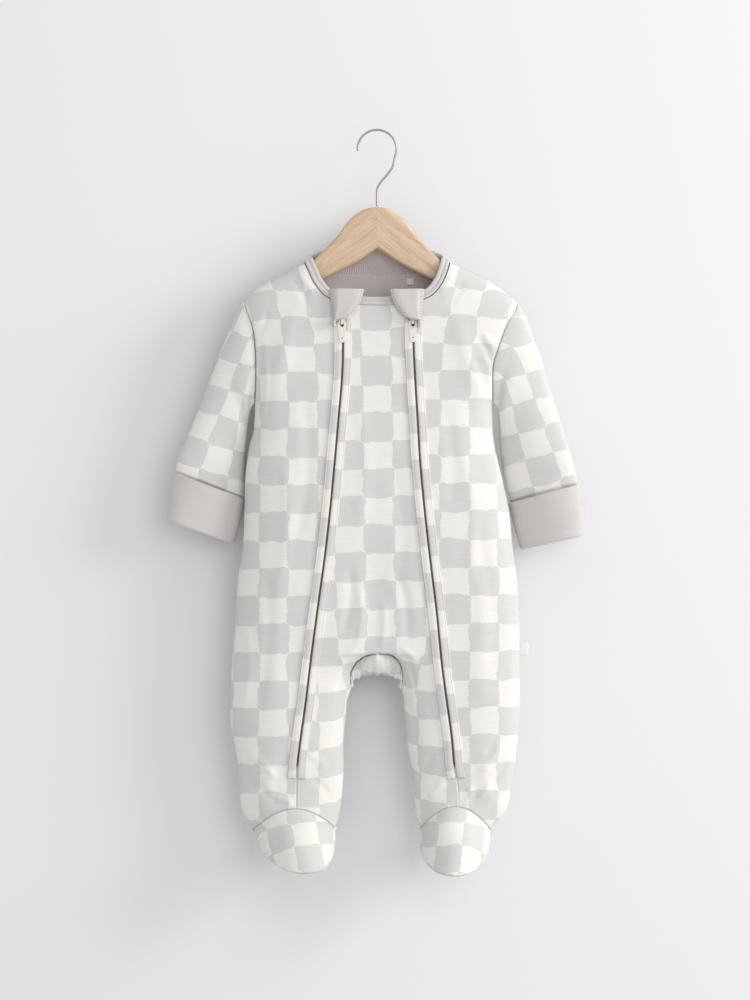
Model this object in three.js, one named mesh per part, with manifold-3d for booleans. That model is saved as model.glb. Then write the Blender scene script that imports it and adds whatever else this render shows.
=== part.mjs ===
// Footed baby sleepsuit with two zips, hanging on a wooden hanger.
// Millimetres, +Z up, the front faces -Y. The origin is the inner top of the hanger's hook,
// so "drop" in every table is the distance below that point.
import * as THREE from "three";
import { mergeVertices } from "three/addons/utils/BufferGeometryUtils.js";
import Module from "manifold-3d";

// Driving dimensions
const cloth = 2;
const seamGap = 0.3;
const crowdedDrawIn = 0.65;
const crowdedReach = 8;
const zipGap = 1.8;
const armholeBottom = 247;
const armholeDepth = 13;
const archTop = 475;
const neckHalf = 66;
const zipEnd = 577;
const weltEnd = 588;

// Rows and columns of the body's surface
const armholeRows = 10;
const neckRows = 5;
const torsoRows = 8;
const archRows = 5;
const legRows = 7;
const sideColumns = 6;
const innerColumns = 4;
const acrossHalf = sideColumns + innerColumns;
const underarmRow = armholeRows;
const archRow = underarmRow + torsoRows;
const legRow = archRow + archRows;
const ankleRow = legRow + legRows;

// Side silhouettes and depths of the body, a row for each section
const outline = [
  { drop: 235, left: -111, right: 105, front: 21, back: 19 },
  { drop: 247, left: -111, right: 105, front: 21, back: 19 },
  { drop: 272, left: -112.4, right: 105.4, front: 23, back: 20 },
  { drop: 289, left: -116.6, right: 107.6, front: 24, back: 20 },
  { drop: 318, left: -120.1, right: 114.2, front: 25, back: 21 },
  { drop: 345, left: -120.6, right: 120.1, front: 26, back: 22 },
  { drop: 377, left: -122.1, right: 123.3, front: 26, back: 23 },
  { drop: 409, left: -126.7, right: 127.4, front: 25, back: 23 },
  { drop: 440, left: -128.4, right: 129.4, front: 24, back: 22 },
  { drop: 472, left: -131.2, right: 129.8, front: 23, back: 21 },
  { drop: 509, left: -133, right: 129.9, front: 23, back: 20 },
  { drop: 536, left: -133.2, right: 129.7, front: 22, back: 20 },
  { drop: 559, left: -129.9, right: 127.4, front: 21, back: 19 },
  { drop: 577, left: -126.3, right: 125.4, front: 21, back: 19 },
  { drop: 597, left: -125, right: 121.8, front: 20, back: 19 },
  { drop: 618, left: -123, right: 117.5, front: 20, back: 19 },
  { drop: 636, left: -112, right: 103, front: 20, back: 20 },
];

// Line of each zip, and of the seam that goes on below it
const zipLine = [
  { drop: 156.5, left: -32.3, right: 32.3 },
  { drop: 194, left: -30.9, right: 33 },
  { drop: 227, left: -31.9, right: 34.6 },
  { drop: 262, left: -34.9, right: 36.7 },
  { drop: 302, left: -38.4, right: 39.1 },
  { drop: 348, left: -42.8, right: 43.4 },
  { drop: 390, left: -47.7, right: 48.2 },
  { drop: 437, left: -54.2, right: 54 },
  { drop: 483, left: -60.3, right: 58.6 },
  { drop: 518, left: -64.6, right: 63.3 },
  { drop: 551, left: -69.2, right: 67.8 },
  { drop: 577, left: -72.3, right: 70.2 },
  { drop: 595, left: -73, right: 73.3 },
  { drop: 613, left: -73.2, right: 74.6 },
];

const inseam = [
  { drop: 507, left: -23.1, right: 22 },
  { drop: 518, left: -27, right: 24.4 },
  { drop: 529, left: -27.8, right: 24.8 },
  { drop: 557, left: -30.4, right: 27.3 },
  { drop: 575, left: -30, right: 30.5 },
  { drop: 598, left: -30.9, right: 33.2 },
  { drop: 622, left: -34.2, right: 35.5 },
  { drop: 635, left: -38, right: 39.6 },
];

// Arch seam over the gusset, from its top down each leg, and the gusset's lower edge
const arch = [
  { left: 0, leftDrop: 475, right: 0, rightDrop: 475, low: 495, front: 15, back: 13 },
  { left: -8.7, leftDrop: 476.8, right: 8.7, rightDrop: 475.6, low: 495.4, front: 14, back: 12 },
  { left: -15.5, leftDrop: 480.5, right: 15.6, rightDrop: 478, low: 497, front: 11.5, back: 10 },
  { left: -21.8, leftDrop: 487.5, right: 21.2, rightDrop: 484.5, low: 499.5, front: 8, back: 7 },
  { left: -24.4, leftDrop: 496, right: 23.6, rightDrop: 495, low: 503, front: 4.5, back: 4 },
  { left: -23.1, leftDrop: 507, right: 22, rightDrop: 507, low: 507, front: 0, back: 0 },
];

// Armhole seams
const armhole = [
  { drop: 154.7, left: -120.8, right: 129.2 },
  { drop: 164, left: -118.8, right: 125.8 },
  { drop: 173.5, left: -115, right: 120 },
  { drop: 184, left: -112.2, right: 115 },
  { drop: 197, left: -110.8, right: 110.4 },
  { drop: 212, left: -110.1, right: 105.8 },
  { drop: 230, left: -110.3, right: 105 },
  { drop: 247, left: -111, right: 105 },
];

// Top fold of the shoulders, from one sleeve to the other, passing over the neck hole
const shoulder = [
  { x: -120.8, drop: 154.7 },
  { x: -115, drop: 147.4 },
  { x: -105.6, drop: 140.1 },
  { x: -96.5, drop: 134.9 },
  { x: -78.3, drop: 125.6 },
  { x: -66, drop: 118.3 },
  { x: -40, drop: 109 },
  { x: 0, drop: 104 },
  { x: 40, drop: 109 },
  { x: 66, drop: 118.3 },
  { x: 81, drop: 124.9 },
  { x: 92, drop: 130 },
  { x: 107.8, drop: 139.2 },
  { x: 117.1, drop: 145.6 },
  { x: 125.6, drop: 152.9 },
  { x: 129.2, drop: 157 },
];

// Front neck edge, from the shoulder to the zip, one row of the body's surface for each
const neckEdge = [
  { left: -66, right: 66, drop: 118.3 },
  { left: -65, right: 65.6, drop: 121 },
  { left: -62, right: 63.6, drop: 127.5 },
  { left: -56.5, right: 58.6, drop: 139 },
  { left: -46.5, right: 48.4, drop: 150.5 },
  { left: -32.3, right: 32.3, drop: 156.5 },
];

// Sleeve sections, from the armhole to just under the cuff's free edge
const sleeveSections = {
  left: [
    { outer: -120.8, outerDrop: 154.7, inner: -111, innerDrop: 247, shift: 0, depth: 13 },
    { outer: -127.9, outerDrop: 165.6, inner: -115.4, innerDrop: 254, shift: 2, depth: 14.5 },
    { outer: -136.5, outerDrop: 186.6, inner: -117.4, innerDrop: 265, shift: 5, depth: 15 },
    { outer: -146.5, outerDrop: 212, inner: -118.8, innerDrop: 278, shift: 8, depth: 14.5 },
    { outer: -157.4, outerDrop: 241.2, inner: -119.6, innerDrop: 293, shift: 11, depth: 13.5 },
    { outer: -169.3, outerDrop: 271.2, inner: -120, innerDrop: 310, shift: 13, depth: 12.2 },
    { outer: -180.4, outerDrop: 294.8, inner: -120.2, innerDrop: 325, shift: 13, depth: 11 },
    { outer: -182.6, outerDrop: 309.4, inner: -120.6, innerDrop: 333.2, shift: 13, depth: 10.3 },
    { outer: -181.8, outerDrop: 317.9, inner: -123.8, innerDrop: 340.1, shift: 13, depth: 9.9 },
  ],
  right: [
    { outer: 129.2, outerDrop: 157, inner: 105, innerDrop: 247, shift: 0, depth: 13 },
    { outer: 135.6, outerDrop: 168.3, inner: 109.4, innerDrop: 253, shift: 2, depth: 14.5 },
    { outer: 142.4, outerDrop: 187.5, inner: 110.6, innerDrop: 262, shift: 5, depth: 15 },
    { outer: 150.6, outerDrop: 210.2, inner: 111.2, innerDrop: 273, shift: 8, depth: 14.5 },
    { outer: 158.3, outerDrop: 237.5, inner: 112, innerDrop: 288, shift: 11, depth: 13.5 },
    { outer: 166.5, outerDrop: 263, inner: 113.6, innerDrop: 302, shift: 13, depth: 12.2 },
    { outer: 175.6, outerDrop: 292.1, inner: 116.8, innerDrop: 319.4, shift: 13, depth: 11 },
    { outer: 182.3, outerDrop: 319.4, inner: 121.2, innerDrop: 336, shift: 13, depth: 10.3 },
    { outer: 181.2, outerDrop: 328.7, inner: 124.2, innerDrop: 344, shift: 13, depth: 9.9 },
  ],
};

// Corners of each fold-over cuff: its free top edge and its fold at the bottom
const cuffCorners = {
  left: { top: { outer: -182.2, outerDrop: 311.8, inner: -121.8, innerDrop: 334.5 },
    bottom: { outer: -189.4, outerDrop: 356, inner: -132.6, innerDrop: 375.6 } },
  right: { top: { outer: 181.6, outerDrop: 322.2, inner: 122.2, innerDrop: 338.2 },
    bottom: { outer: 186, outerDrop: 369, inner: 132.8, innerDrop: 380.8 } },
};
const cuffDepth = 10.4;
const cuffShift = 13;

// Closed outline of each cuff's wall: how far down the cuff, and how far out from the sleeve's
// surface. The free layer goes down outside, folds, and comes up inside to the sleeve's end.
const cuffProfile = [
  { down: 0, out: 0.9, slit: 1 },
  { down: 0, out: 2.5, slit: 1 },
  { down: 0.12, out: 2.7, slit: 0.75 },
  { down: 0.35, out: 2.7, slit: 0.3 },
  { down: 0.7, out: 2.5, slit: 0 },
  { down: 0.96, out: 2.1, slit: 0 },
  { down: 1, out: 0.6, slit: 0 },
  { down: 0.97, out: -1.3, slit: 0 },
  { down: 0.6, out: -2, slit: 0 },
  { down: 0.17, out: -2, slit: 0 },
  { down: 0.17, out: -0.1, slit: 0 },
  { down: 0.6, out: -0.1, slit: 0 },
  { down: 0.93, out: 0.1, slit: 0 },
  { down: 0.93, out: 0.7, slit: 0 },
  { down: 0.6, out: 0.8, slit: 0 },
  { down: 0.3, out: 0.9, slit: 0.4 },
];
const slitOpening = 2.2;

// Seam between each foot's upper and sole round the toe, and the sole's edge round the heel
const toeEdge = {
  left: [
    { x: -112, drop: 636, y: 0 },
    { x: -107.5, drop: 649, y: -12 },
    { x: -101.5, drop: 657.5, y: -26 },
    { x: -91, drop: 666, y: -41 },
    { x: -76, drop: 671.3, y: -52 },
    { x: -60, drop: 672.3, y: -54 },
    { x: -46.5, drop: 668.5, y: -46 },
    { x: -39.5, drop: 659, y: -31 },
    { x: -37.6, drop: 647, y: -14 },
    { x: -38, drop: 635, y: 0 },
  ],
  right: [
    { x: 103, drop: 636, y: 0 },
    { x: 102, drop: 651, y: -13 },
    { x: 98, drop: 661.5, y: -27 },
    { x: 89, drop: 670, y: -42 },
    { x: 76, drop: 674.3, y: -53 },
    { x: 63, drop: 674, y: -54 },
    { x: 50, drop: 669.5, y: -45 },
    { x: 41.5, drop: 660.5, y: -30 },
    { x: 38.6, drop: 648, y: -14 },
    { x: 39.6, drop: 635, y: 0 },
  ],
};
const heelEdge = {
  left: [
    { x: -112, drop: 636, y: 0 },
    { x: -105, drop: 642, y: 11 },
    { x: -90, drop: 647, y: 18 },
    { x: -74, drop: 648.5, y: 20 },
    { x: -58, drop: 647, y: 18 },
    { x: -44, drop: 641, y: 10 },
    { x: -38, drop: 635, y: 0 },
  ],
  right: [
    { x: 103, drop: 636, y: 0 },
    { x: 97, drop: 642, y: 11 },
    { x: 85, drop: 647, y: 18 },
    { x: 71, drop: 648.5, y: 20 },
    { x: 58, drop: 647, y: 18 },
    { x: 45.5, drop: 641, y: 10 },
    { x: 39.6, drop: 635, y: 0 },
  ],
};
const ankleRise = { left: 20, right: 22 };
const upperRows = 4;
const upperBulge = 9;
const heelRows = 2;
const heelBulge = 3;
const soleBulge = 2.5;
const soleReaches = [0, 0.36, 0.7, 1];

// Largest soft folds of the hanging cloth: centre, half length and half width, height of the
// ridge (a trough when negative), and lean from upright in degrees
const folds = [
  { side: "front", x: -88, drop: 215, long: 46, wide: 9, high: 2.2, lean: 14 },
  { side: "front", x: 84, drop: 212, long: 44, wide: 9, high: 2, lean: -16 },
  { side: "front", x: 0, drop: 420, long: 60, wide: 16, high: -2, lean: 2 },
  { side: "front", x: -96, drop: 470, long: 70, wide: 13, high: 1.8, lean: -3 },
  { side: "front", x: 98, drop: 455, long: 70, wide: 13, high: 1.8, lean: 3 },
  { side: "front", x: -100, drop: 596, long: 28, wide: 8, high: 1.8, lean: 8 },
  { side: "front", x: 100, drop: 592, long: 30, wide: 8, high: 1.8, lean: -10 },
  { side: "back", x: -70, drop: 260, long: 80, wide: 14, high: 2.4, lean: 8 },
  { side: "back", x: 62, drop: 268, long: 76, wide: 13, high: 2.2, lean: -10 },
  { side: "back", x: -8, drop: 380, long: 70, wide: 15, high: -2.2, lean: 3 },
  { side: "back", x: -84, drop: 540, long: 50, wide: 11, high: 2, lean: -5 },
  { side: "back", x: 80, drop: 530, long: 54, wide: 12, high: 2, lean: 6 },
];

// Zip parts. "Off" is a distance outwards from the cloth's outer face.
const stripInner = zipGap / 2;
const stripWidth = 7.4;
const weltTop = 181;
const weltOff = [0.3, 1.9];
const tapeHalf = 7;
const tapeStart = 1.5;
const tapeOff = [-3, -2.3];
const slider = {
  drop: { left: 171.6, right: 171.2 },
  wide: 6,
  tall: 10,
  plate: [0.4, 2.15],
  bridgeUnder: 3.85,
  bridgeTop: 4.8,
  bridgeWide: 2.4,
  bridgeEnd: 1,
  leg: 1.2,
};
const pull = {
  thick: 0.9,
  topWide: 8,
  tipWide: 4.4,
  length: 18.6,
  shoulder: 7,
  taper: 0.3,
  corner: 1,
  tipCorner: 1.4,
  bar: 1.1,
  slotWide: 3.4,
  slotLong: 4,
  hole: 0.6,
  holeUp: 4,
  off: 3,
};
const barAboveLeg = 0.3;

// Zip guards: outline by height, then how they stand off the cloth
const guardSections = [
  { drop: 144.7, outer: 42.6, inner: 11.8 },
  { drop: 150.2, outer: 42.6, inner: 13 },
  { drop: 157.4, outer: 41.9, inner: 15.6 },
  { drop: 163, outer: 41.4, inner: 18.4 },
  { drop: 168.3, outer: 40.8, inner: 22 },
  { drop: 172.2, outer: 40.3, inner: 28 },
  { drop: 173.4, outer: 40.2, inner: 36.6 },
  { drop: 177.4, outer: 39.9, inner: 37.8 },
];
const guardOff = 6.1;
const guardThick = 1.7;
const guardSewn = 0.5;
const guardSewnOverBinding = 1.8;
const guardTuck = 2.6;
const guardTuckEnd = 168;
const guardTuckFrom = 0.65;
const guardRise = 0.26;
const guardLevelAbove = 150;
const guardLipDown = 0.8;
const guardFoldBack = [3.4, 1.2];
const guardFoldAtSeam = 0.2;
const guardAcross = [0, 0.12, 0.26, 0.45, 0.65, 0.83, 1];

// Neck pieces
const bindingWide = 8;
const bindingOff = [-2.1, 0.5];
const neckFocus = new THREE.Vector3(0, 0, -90);
const bindingEndCut = 2.2;
const backNeckShares = [0.94, 0.82, 0.48, 0];
const backNeckRise = 2.7;
const facingHalf = 54;
const facingOff = [-3.7, -2.4];

// Hanger, one half; the other half mirrors it
const hangerTop = [
  { x: 0, drop: 69.2 },
  { x: 9.6, drop: 70.8 },
  { x: 21, drop: 77 },
  { x: 29, drop: 85.6 },
  { x: 36, drop: 95.4 },
  { x: 44.8, drop: 104.8 },
  { x: 57.3, drop: 117.4 },
  { x: 66, drop: 123.9 },
  { x: 81, drop: 131.9 },
  { x: 96.5, drop: 140.2 },
  { x: 103, drop: 144.6 },
];
const hangerLow = [
  { x: 107, drop: 149 },
  { x: 103, drop: 154.5 },
  { x: 88, drop: 150 },
  { x: 66, drop: 142 },
  { x: 50, drop: 135.6 },
  { x: 21, drop: 121 },
  { x: 0, drop: 107.4 },
];
const hangerThick = 10.6;
const hangerRound = 4.2;
const wireRadius = 1;
const hookRadius = 17.7;
const hookSeat = 0.3;

const finish = (colour, roughness, metalness = 0) =>
  new THREE.MeshStandardMaterial({ color: colour, roughness, metalness });
const printed = () => finish(0xe6e4de, 0.9);
const plain = () => finish(0xc4bfbb, 0.9);

const lerp = THREE.MathUtils.lerp;
const clamp = THREE.MathUtils.clamp;

// Value of a column on a smooth curve through a table's rows, at a value of its key column.
function along(table, key, column, at) {
  const n = table.length;
  const rising = table[n - 1][key] > table[0][key];
  const ends = [table[0][key], table[n - 1][key]];
  const spot = clamp(at, Math.min(...ends), Math.max(...ends));
  let i = 0;
  while (i < n - 2 && (rising ? spot > table[i + 1][key] : spot < table[i + 1][key])) i++;
  const slope = (k) => {
    const a = table[Math.max(k - 1, 0)];
    const b = table[Math.min(k + 1, n - 1)];
    return (b[column] - a[column]) / (b[key] - a[key]);
  };
  const span = table[i + 1][key] - table[i][key];
  const t = (spot - table[i][key]) / span;
  const h = t * t * (3 - 2 * t);
  return lerp(table[i][column], table[i + 1][column], h)
    + span * (t * (1 - t) ** 2 * slope(i) - t * t * (1 - t) * slope(i + 1));
}

// The same with the row number as the key.
function alongRows(table, column, at) {
  const numbered = table.map((row, index) => ({ index, value: row[column] }));
  return along(numbered, "index", "value", at);
}

// Rise of a rounded section from its edge, 0 at the edge and 1 from "full" on.
function rounding(distance, full, power) {
  const rest = 1 - clamp(distance / full, 0, 1);
  return (1 - rest ** power) ** (1 / power);
}

const shoulderPower = 2.4;
const sidePower = 2.3;
const shoulderFall = 92;
const neckOpenDepth = 10;
const neckOpenPower = 6;
const sleeveTip = { left: armhole[0].drop, right: 157 };
const backInnerShare = 0.55;
const zipShareGuess = 0.6;
const zipShareTurns = 12;
const centreDip = 2.5;
const shoulderDrop = (x) => along(shoulder, "x", "drop", x);

// Depth of the body in front of, or behind, the plane of its side seams, away from its edges.
function bodyDepth(x, drop, side) {
  const full = along(outline, "drop", side, drop);
  const inNeck = Math.max(0, 1 - (Math.abs(x) / neckHalf) ** neckOpenPower);
  const open = side === "back" ? neckOpenDepth * Math.sqrt(inNeck) : 0;
  return full * rounding(drop - shoulderDrop(x) + open, shoulderFall, shoulderPower);
}

function foldHeight(x, drop, side) {
  let height = 0;
  for (const fold of folds) {
    if (fold.side !== side) continue;
    const lean = THREE.MathUtils.degToRad(fold.lean);
    const dx = x - fold.x;
    const dz = drop - fold.drop;
    const across = (dx * Math.cos(lean) + dz * Math.sin(lean)) / fold.wide;
    const length = (dz * Math.cos(lean) - dx * Math.sin(lean)) / fold.long;
    height += fold.high * Math.exp(-across * across - length * length);
  }
  return height;
}

// Shares of the way across a half: close together at the side seam and at the inner edge.
const sideShare = (i) => 1 - Math.cos((Math.PI / 2) * (i / sideColumns));
const innerShare = (j) => Math.sin((Math.PI / 2) * (j / innerColumns));

// Where one row of a half begins and ends, and how deep its edges are.
function rowEnds(hand, k) {
  if (k <= underarmRow) {
    const share = (1 - Math.cos((Math.PI * k) / armholeRows)) / 2;
    const drop = lerp(sleeveTip[hand], armholeBottom, share);
    const depth = k === underarmRow ? 0 : armholeDepth * Math.sin((Math.PI * k) / armholeRows);
    return { outer: { x: along(armhole, "drop", hand, drop), drop, depth }, share };
  }
  if (k <= archRow) {
    const drop = lerp(armholeBottom, archTop, (k - underarmRow) / torsoRows);
    return {
      outer: { x: along(outline, "drop", hand, drop), drop, depth: 0 },
      inner: { x: 0, drop },
    };
  }
  const foot = toeEdge[hand][0];
  const legTop = arch[archRows][hand + "Drop"];
  if (k <= legRow) {
    const row = arch[k - archRow];
    const drop = lerp(archTop, legTop, (k - archRow) / archRows);
    return {
      outer: { x: along(outline, "drop", hand, drop), drop, depth: 0 },
      inner: { x: row[hand], drop: row[hand + "Drop"], front: row.front, back: row.back },
    };
  }
  const share = (k - legRow) / legRows;
  const drop = lerp(legTop, foot.drop, share);
  const inner = toeEdge[hand].at(-1);
  const innerDrop = lerp(legTop, inner.drop, share);
  const rise = ankleRise[hand] * THREE.MathUtils.smoothstep(share, 0.35, 1);
  return {
    outer: { x: k === ankleRow ? foot.x : along(outline, "drop", hand, drop), drop, depth: 0 },
    inner: { x: k === ankleRow ? inner.x : along(inseam, "drop", hand, innerDrop),
      drop: innerDrop, front: 0, back: 0 },
    rise,
  };
}

// Depth at a share of the way across a row, falling to the row's own depths at both edges.
function depthAcross(ends, x, drop, share, side) {
  const full = bodyDepth(x, drop, side);
  const fromSide = rounding(share * 2, 1, sidePower);
  const fromInner = rounding((1 - share) * 2, 1, sidePower);
  const innerDepth = ends.inner?.[side];
  const inward = innerDepth === undefined ? 0 : (full - innerDepth) * (1 - fromInner);
  const edge = (innerDepth === undefined ? 1 : fromInner) * fromSide;
  return ends.outer.depth + (full - ends.outer.depth) * fromSide - inward
    + foldHeight(x, drop, side) * edge;
}

function bodyPoint(ends, x, drop, share, side) {
  const depth = depthAcross(ends, x, drop, share, side);
  return new THREE.Vector3(x, side === "front" ? -depth : depth, -drop);
}

// One row across a half from the side seam to the zip, then on to the middle or the inseam.
function frontRow(hand, k) {
  const ends = rowEnds(hand, k);
  const points = [];
  if (k <= underarmRow) {
    const onNeck = k <= neckRows;
    const belowNeck = (k - neckRows) / (armholeRows - neckRows);
    const zipDrop = onNeck ? neckEdge[k].drop
      : lerp(neckEdge[neckRows].drop, armholeBottom, belowNeck);
    const zipX = onNeck ? neckEdge[k][hand] : along(zipLine, "drop", hand, zipDrop);
    const fade = (1 - k / armholeRows) ** 2;
    for (let i = 0; i <= sideColumns; i++) {
      const part = k === 0 ? i / sideColumns : lerp(i / sideColumns, sideShare(i), ends.share);
      const x = lerp(ends.outer.x, zipX, part);
      const chord = lerp(ends.outer.drop, zipDrop, part);
      const topX = lerp(rowEnds(hand, 0).outer.x, neckEdge[0][hand], part);
      const lift = lerp(sleeveTip[hand], neckEdge[0].drop, part) - shoulderDrop(topX);
      const drop = chord - lift * fade;
      const share = (x - ends.outer.x) / (0 - ends.outer.x);
      points.push(bodyPoint(ends, x, drop, share, "front"));
    }
    if (k >= neckRows) {
      const dip = centreDip * (1 - belowNeck);
      for (let j = 1; j <= innerColumns; j++) {
        const x = lerp(zipX, 0, innerShare(j));
        const drop = zipDrop + dip * (1 - (x / zipX) ** 2);
        points.push(bodyPoint(ends, x, drop, 1 - x / ends.outer.x, "front"));
      }
    }
    return points;
  }
  const { outer, inner } = ends;
  const at = (share) => {
    const hump = (ends.rise ?? 0) * Math.sin(Math.PI * share) ** 0.8;
    const drop = lerp(outer.drop, inner.drop, share ** 2) - hump;
    return { x: lerp(outer.x, inner.x, share), drop };
  };
  let zipShare = zipShareGuess;
  for (let turn = 0; turn < zipShareTurns; turn++) {
    const zipX = along(zipLine, "drop", hand, at(zipShare).drop);
    zipShare = (zipX - outer.x) / (inner.x - outer.x);
  }
  for (let i = 0; i <= acrossHalf; i++) {
    const share = i <= sideColumns ? zipShare * sideShare(i)
      : lerp(zipShare, 1, innerShare(i - sideColumns));
    const { x, drop } = at(share);
    points.push(bodyPoint(ends, x, drop, share, "front"));
  }
  return points;
}

function backRow(hand, k, front) {
  const ends = rowEnds(hand, k);
  const points = [];
  const neckX = neckEdge[0][hand];
  for (let i = 0; i <= acrossHalf; i++) {
    const lowShare = i <= sideColumns ? backInnerShare * sideShare(i)
      : lerp(backInnerShare, 1, innerShare(i - sideColumns));
    if (k > underarmRow) {
      const { outer, inner } = ends;
      const width = inner.x - outer.x;
      const drop = lerp(outer.drop, inner.drop, lowShare ** 2);
      points.push(bodyPoint(ends, outer.x + width * lowShare, drop, lowShare, "back"));
      continue;
    }
    const topX = i <= sideColumns
      ? lerp(rowEnds(hand, 0).outer.x, neckX, i / sideColumns)
      : neckX * backNeckShares[i - sideColumns - 1];
    const topDrop = i <= sideColumns ? shoulderDrop(topX)
      : neckEdge[0].drop - backNeckRise * (1 - (topX / neckX) ** 2);
    const lowX = lerp(ends.outer.x, 0, lowShare);
    const shift = (ends.outer.x - rowEnds(hand, 0).outer.x) * (1 - i / acrossHalf);
    const x = i === 0 ? ends.outer.x : lerp(topX + shift, lowX, ends.share);
    const drop = lerp(topDrop, armholeBottom, ends.share);
    const share = 1 - x / ends.outer.x;
    points.push(k === 0 && i <= sideColumns ? new THREE.Vector3(topX, 0, -topDrop)
      : bodyPoint(ends, x, drop, share, "back"));
  }
  const seamPoint = front[0].clone();
  if (k <= underarmRow) seamPoint.y *= -1;
  points[0] = seamPoint;
  if (k >= legRow) points[acrossHalf] = front[acrossHalf].clone();
  return points;
}

// All outer points of the garment in one pool, so that neighbours share the points of a seam
// and every point has one normal.
const pool = { points: [], keys: new Map(), faces: new Map() };

function pooled(point) {
  const key = [point.x, point.y, point.z].map((v) => Math.round(v * 500)).join();
  if (!pool.keys.has(key)) {
    pool.keys.set(key, pool.points.length);
    pool.points.push(point.clone());
  }
  return pool.keys.get(key);
}

// Adds a grid of points to a panel. With "turned" its faces look the other way.
function addGrid(panel, grid, turned = false) {
  if (!pool.faces.has(panel)) pool.faces.set(panel, []);
  const faces = pool.faces.get(panel);
  const ids = grid.map((row) => row.map(pooled));
  for (let r = 0; r < ids.length - 1; r++)
    for (let c = 0; c < ids[r].length - 1; c++) {
      const quad = [ids[r][c], ids[r][c + 1], ids[r + 1][c + 1], ids[r + 1][c]];
      if (turned) quad.reverse();
      const [a, b, d, e] = quad.map((id) => pool.points[id]);
      const [p, q, s, t] = quad;
      const halves = a.distanceTo(d) <= b.distanceTo(e)
        ? [[p, q, s], [p, s, t]] : [[p, q, t], [q, s, t]];
      for (const face of halves) if (new Set(face).size === 3) faces.push(face);
    }
}

function poolNormals() {
  const normals = pool.points.map(() => new THREE.Vector3());
  const ab = new THREE.Vector3();
  const ac = new THREE.Vector3();
  for (const faces of pool.faces.values())
    for (const [a, b, c] of faces) {
      ab.subVectors(pool.points[b], pool.points[a]);
      ac.subVectors(pool.points[c], pool.points[a]);
      ab.cross(ac);
      for (const id of [a, b, c]) normals[id].add(ab);
    }
  normals.forEach((normal) => normal.normalize());
  return normals;
}

// A closed body from its points and faces, turned so that the faces look outwards.
function closedBody(flat, index) {
  const at = (id) => new THREE.Vector3().fromArray(flat, id * 3);
  let volume = 0;
  for (let f = 0; f < index.length; f += 3)
    volume += at(index[f]).dot(at(index[f + 1]).cross(at(index[f + 2])));
  if (volume < 0) index.reverse();
  const geometry = new THREE.BufferGeometry();
  geometry.setAttribute("position", new THREE.Float32BufferAttribute(flat, 3));
  geometry.setIndex(index);
  geometry.computeVertexNormals();
  return geometry;
}

// A closed wall from a sheet of faces: the sheet moved out along its normals to "top", a copy
// moved to "bottom", and sides between them along every free edge. Each side's diagonal starts
// at its higher end, so two panels that share a seam have matching sides there.
function wall(points, normals, faces, top, bottom) {
  const count = points.length;
  const flat = [];
  for (const off of [top, bottom])
    points.forEach((p, i) => flat.push(...p.clone().addScaledVector(normals[i], off).toArray()));
  const index = [];
  const edges = new Map();
  for (const [a, b, c] of faces) {
    index.push(a, b, c, a + count, c + count, b + count);
    for (const [s, e] of [[a, b], [b, c], [c, a]]) edges.set(s + "_" + e, [s, e]);
  }
  for (const [s, e] of edges.values()) {
    if (edges.has(e + "_" + s)) continue;
    if (points[s].z > points[e].z) index.push(s, s + count, e + count, s, e + count, e);
    else index.push(s, s + count, e, s + count, e + count, e);
  }
  return closedBody(flat, index);
}

// A panel's wall, its edge points drawn in from the seams, a corner's at most "cornerReach" far.
const cornerReach = 2.4;
const leastReach = 0.05;
function panelWall(panel, normals, drawIn) {
  const faces = pool.faces.get(panel);
  const ids = [...new Set(faces.flat())];
  const local = new Map(ids.map((id, i) => [id, i]));
  const points = ids.map((id) => pool.points[id].clone());
  const inward = ids.map(() => new THREE.Vector3());
  const directed = new Set(faces.flatMap(([a, b, c]) => [a + "_" + b, b + "_" + c, c + "_" + a]));
  for (const key of directed) {
    const [s, e] = key.split("_").map(Number);
    if (directed.has(e + "_" + s)) continue;
    const edgeWay = new THREE.Vector3().subVectors(pool.points[e], pool.points[s]).normalize();
    for (const id of [s, e])
      inward[local.get(id)].add(new THREE.Vector3().crossVectors(normals[id], edgeWay).normalize());
  }
  points.forEach((p, i) => {
    const reach = inward[i].length();
    if (reach < leastReach) return;
    const amount = drawIn(pool.points[ids[i]]) * Math.min(cornerReach, 2 / reach);
    p.addScaledVector(inward[i].normalize(), amount);
  });
  const localFaces = faces.map((face) => face.map((id) => local.get(id)));
  return wall(points, ids.map((id) => normals[id]), localFaces, 0, -cloth);
}

// The body's rows
const rows = { left: { front: [], back: [] }, right: { front: [], back: [] } };
for (const hand of ["left", "right"])
  for (let k = 0; k <= ankleRow; k++) {
    const front = frontRow(hand, k);
    rows[hand].front.push(front);
    rows[hand].back.push(backRow(hand, k, front));
  }
for (let k = 0; k <= archRow; k++) {
  const middle = rows.left.back[k][acrossHalf];
  rows.right.back[k][acrossHalf] = middle.clone();
  if (k >= neckRows) rows.right.front[k][acrossHalf] = rows.left.front[k][acrossHalf].clone();
}
for (const hand of ["left", "right"]) {
  const { front, back } = rows[hand];
  for (let i = 0; i <= sideColumns; i++) back[0][i] = front[0][i].clone().setY(0);
  for (let i = 0; i <= sideColumns; i++) front[0][i].setY(0);
}

for (const hand of ["left", "right"]) {
  const { front, back } = rows[hand];
  const turned = hand === "left";
  addGrid("front_" + hand, front.map((row) => row.slice(0, sideColumns + 1)), turned);
  addGrid("front_centre", front.slice(neckRows).map((row) => row.slice(sideColumns)), turned);
  // The back is one cut of cloth. It is four solids, so that collision can follow its hollow.
  addGrid("back", back.slice(0, underarmRow + 1), !turned);
  addGrid("back_lower", back.slice(underarmRow, archRow + 1), !turned);
  addGrid("back_leg_" + hand, back.slice(archRow), !turned);
}

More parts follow.
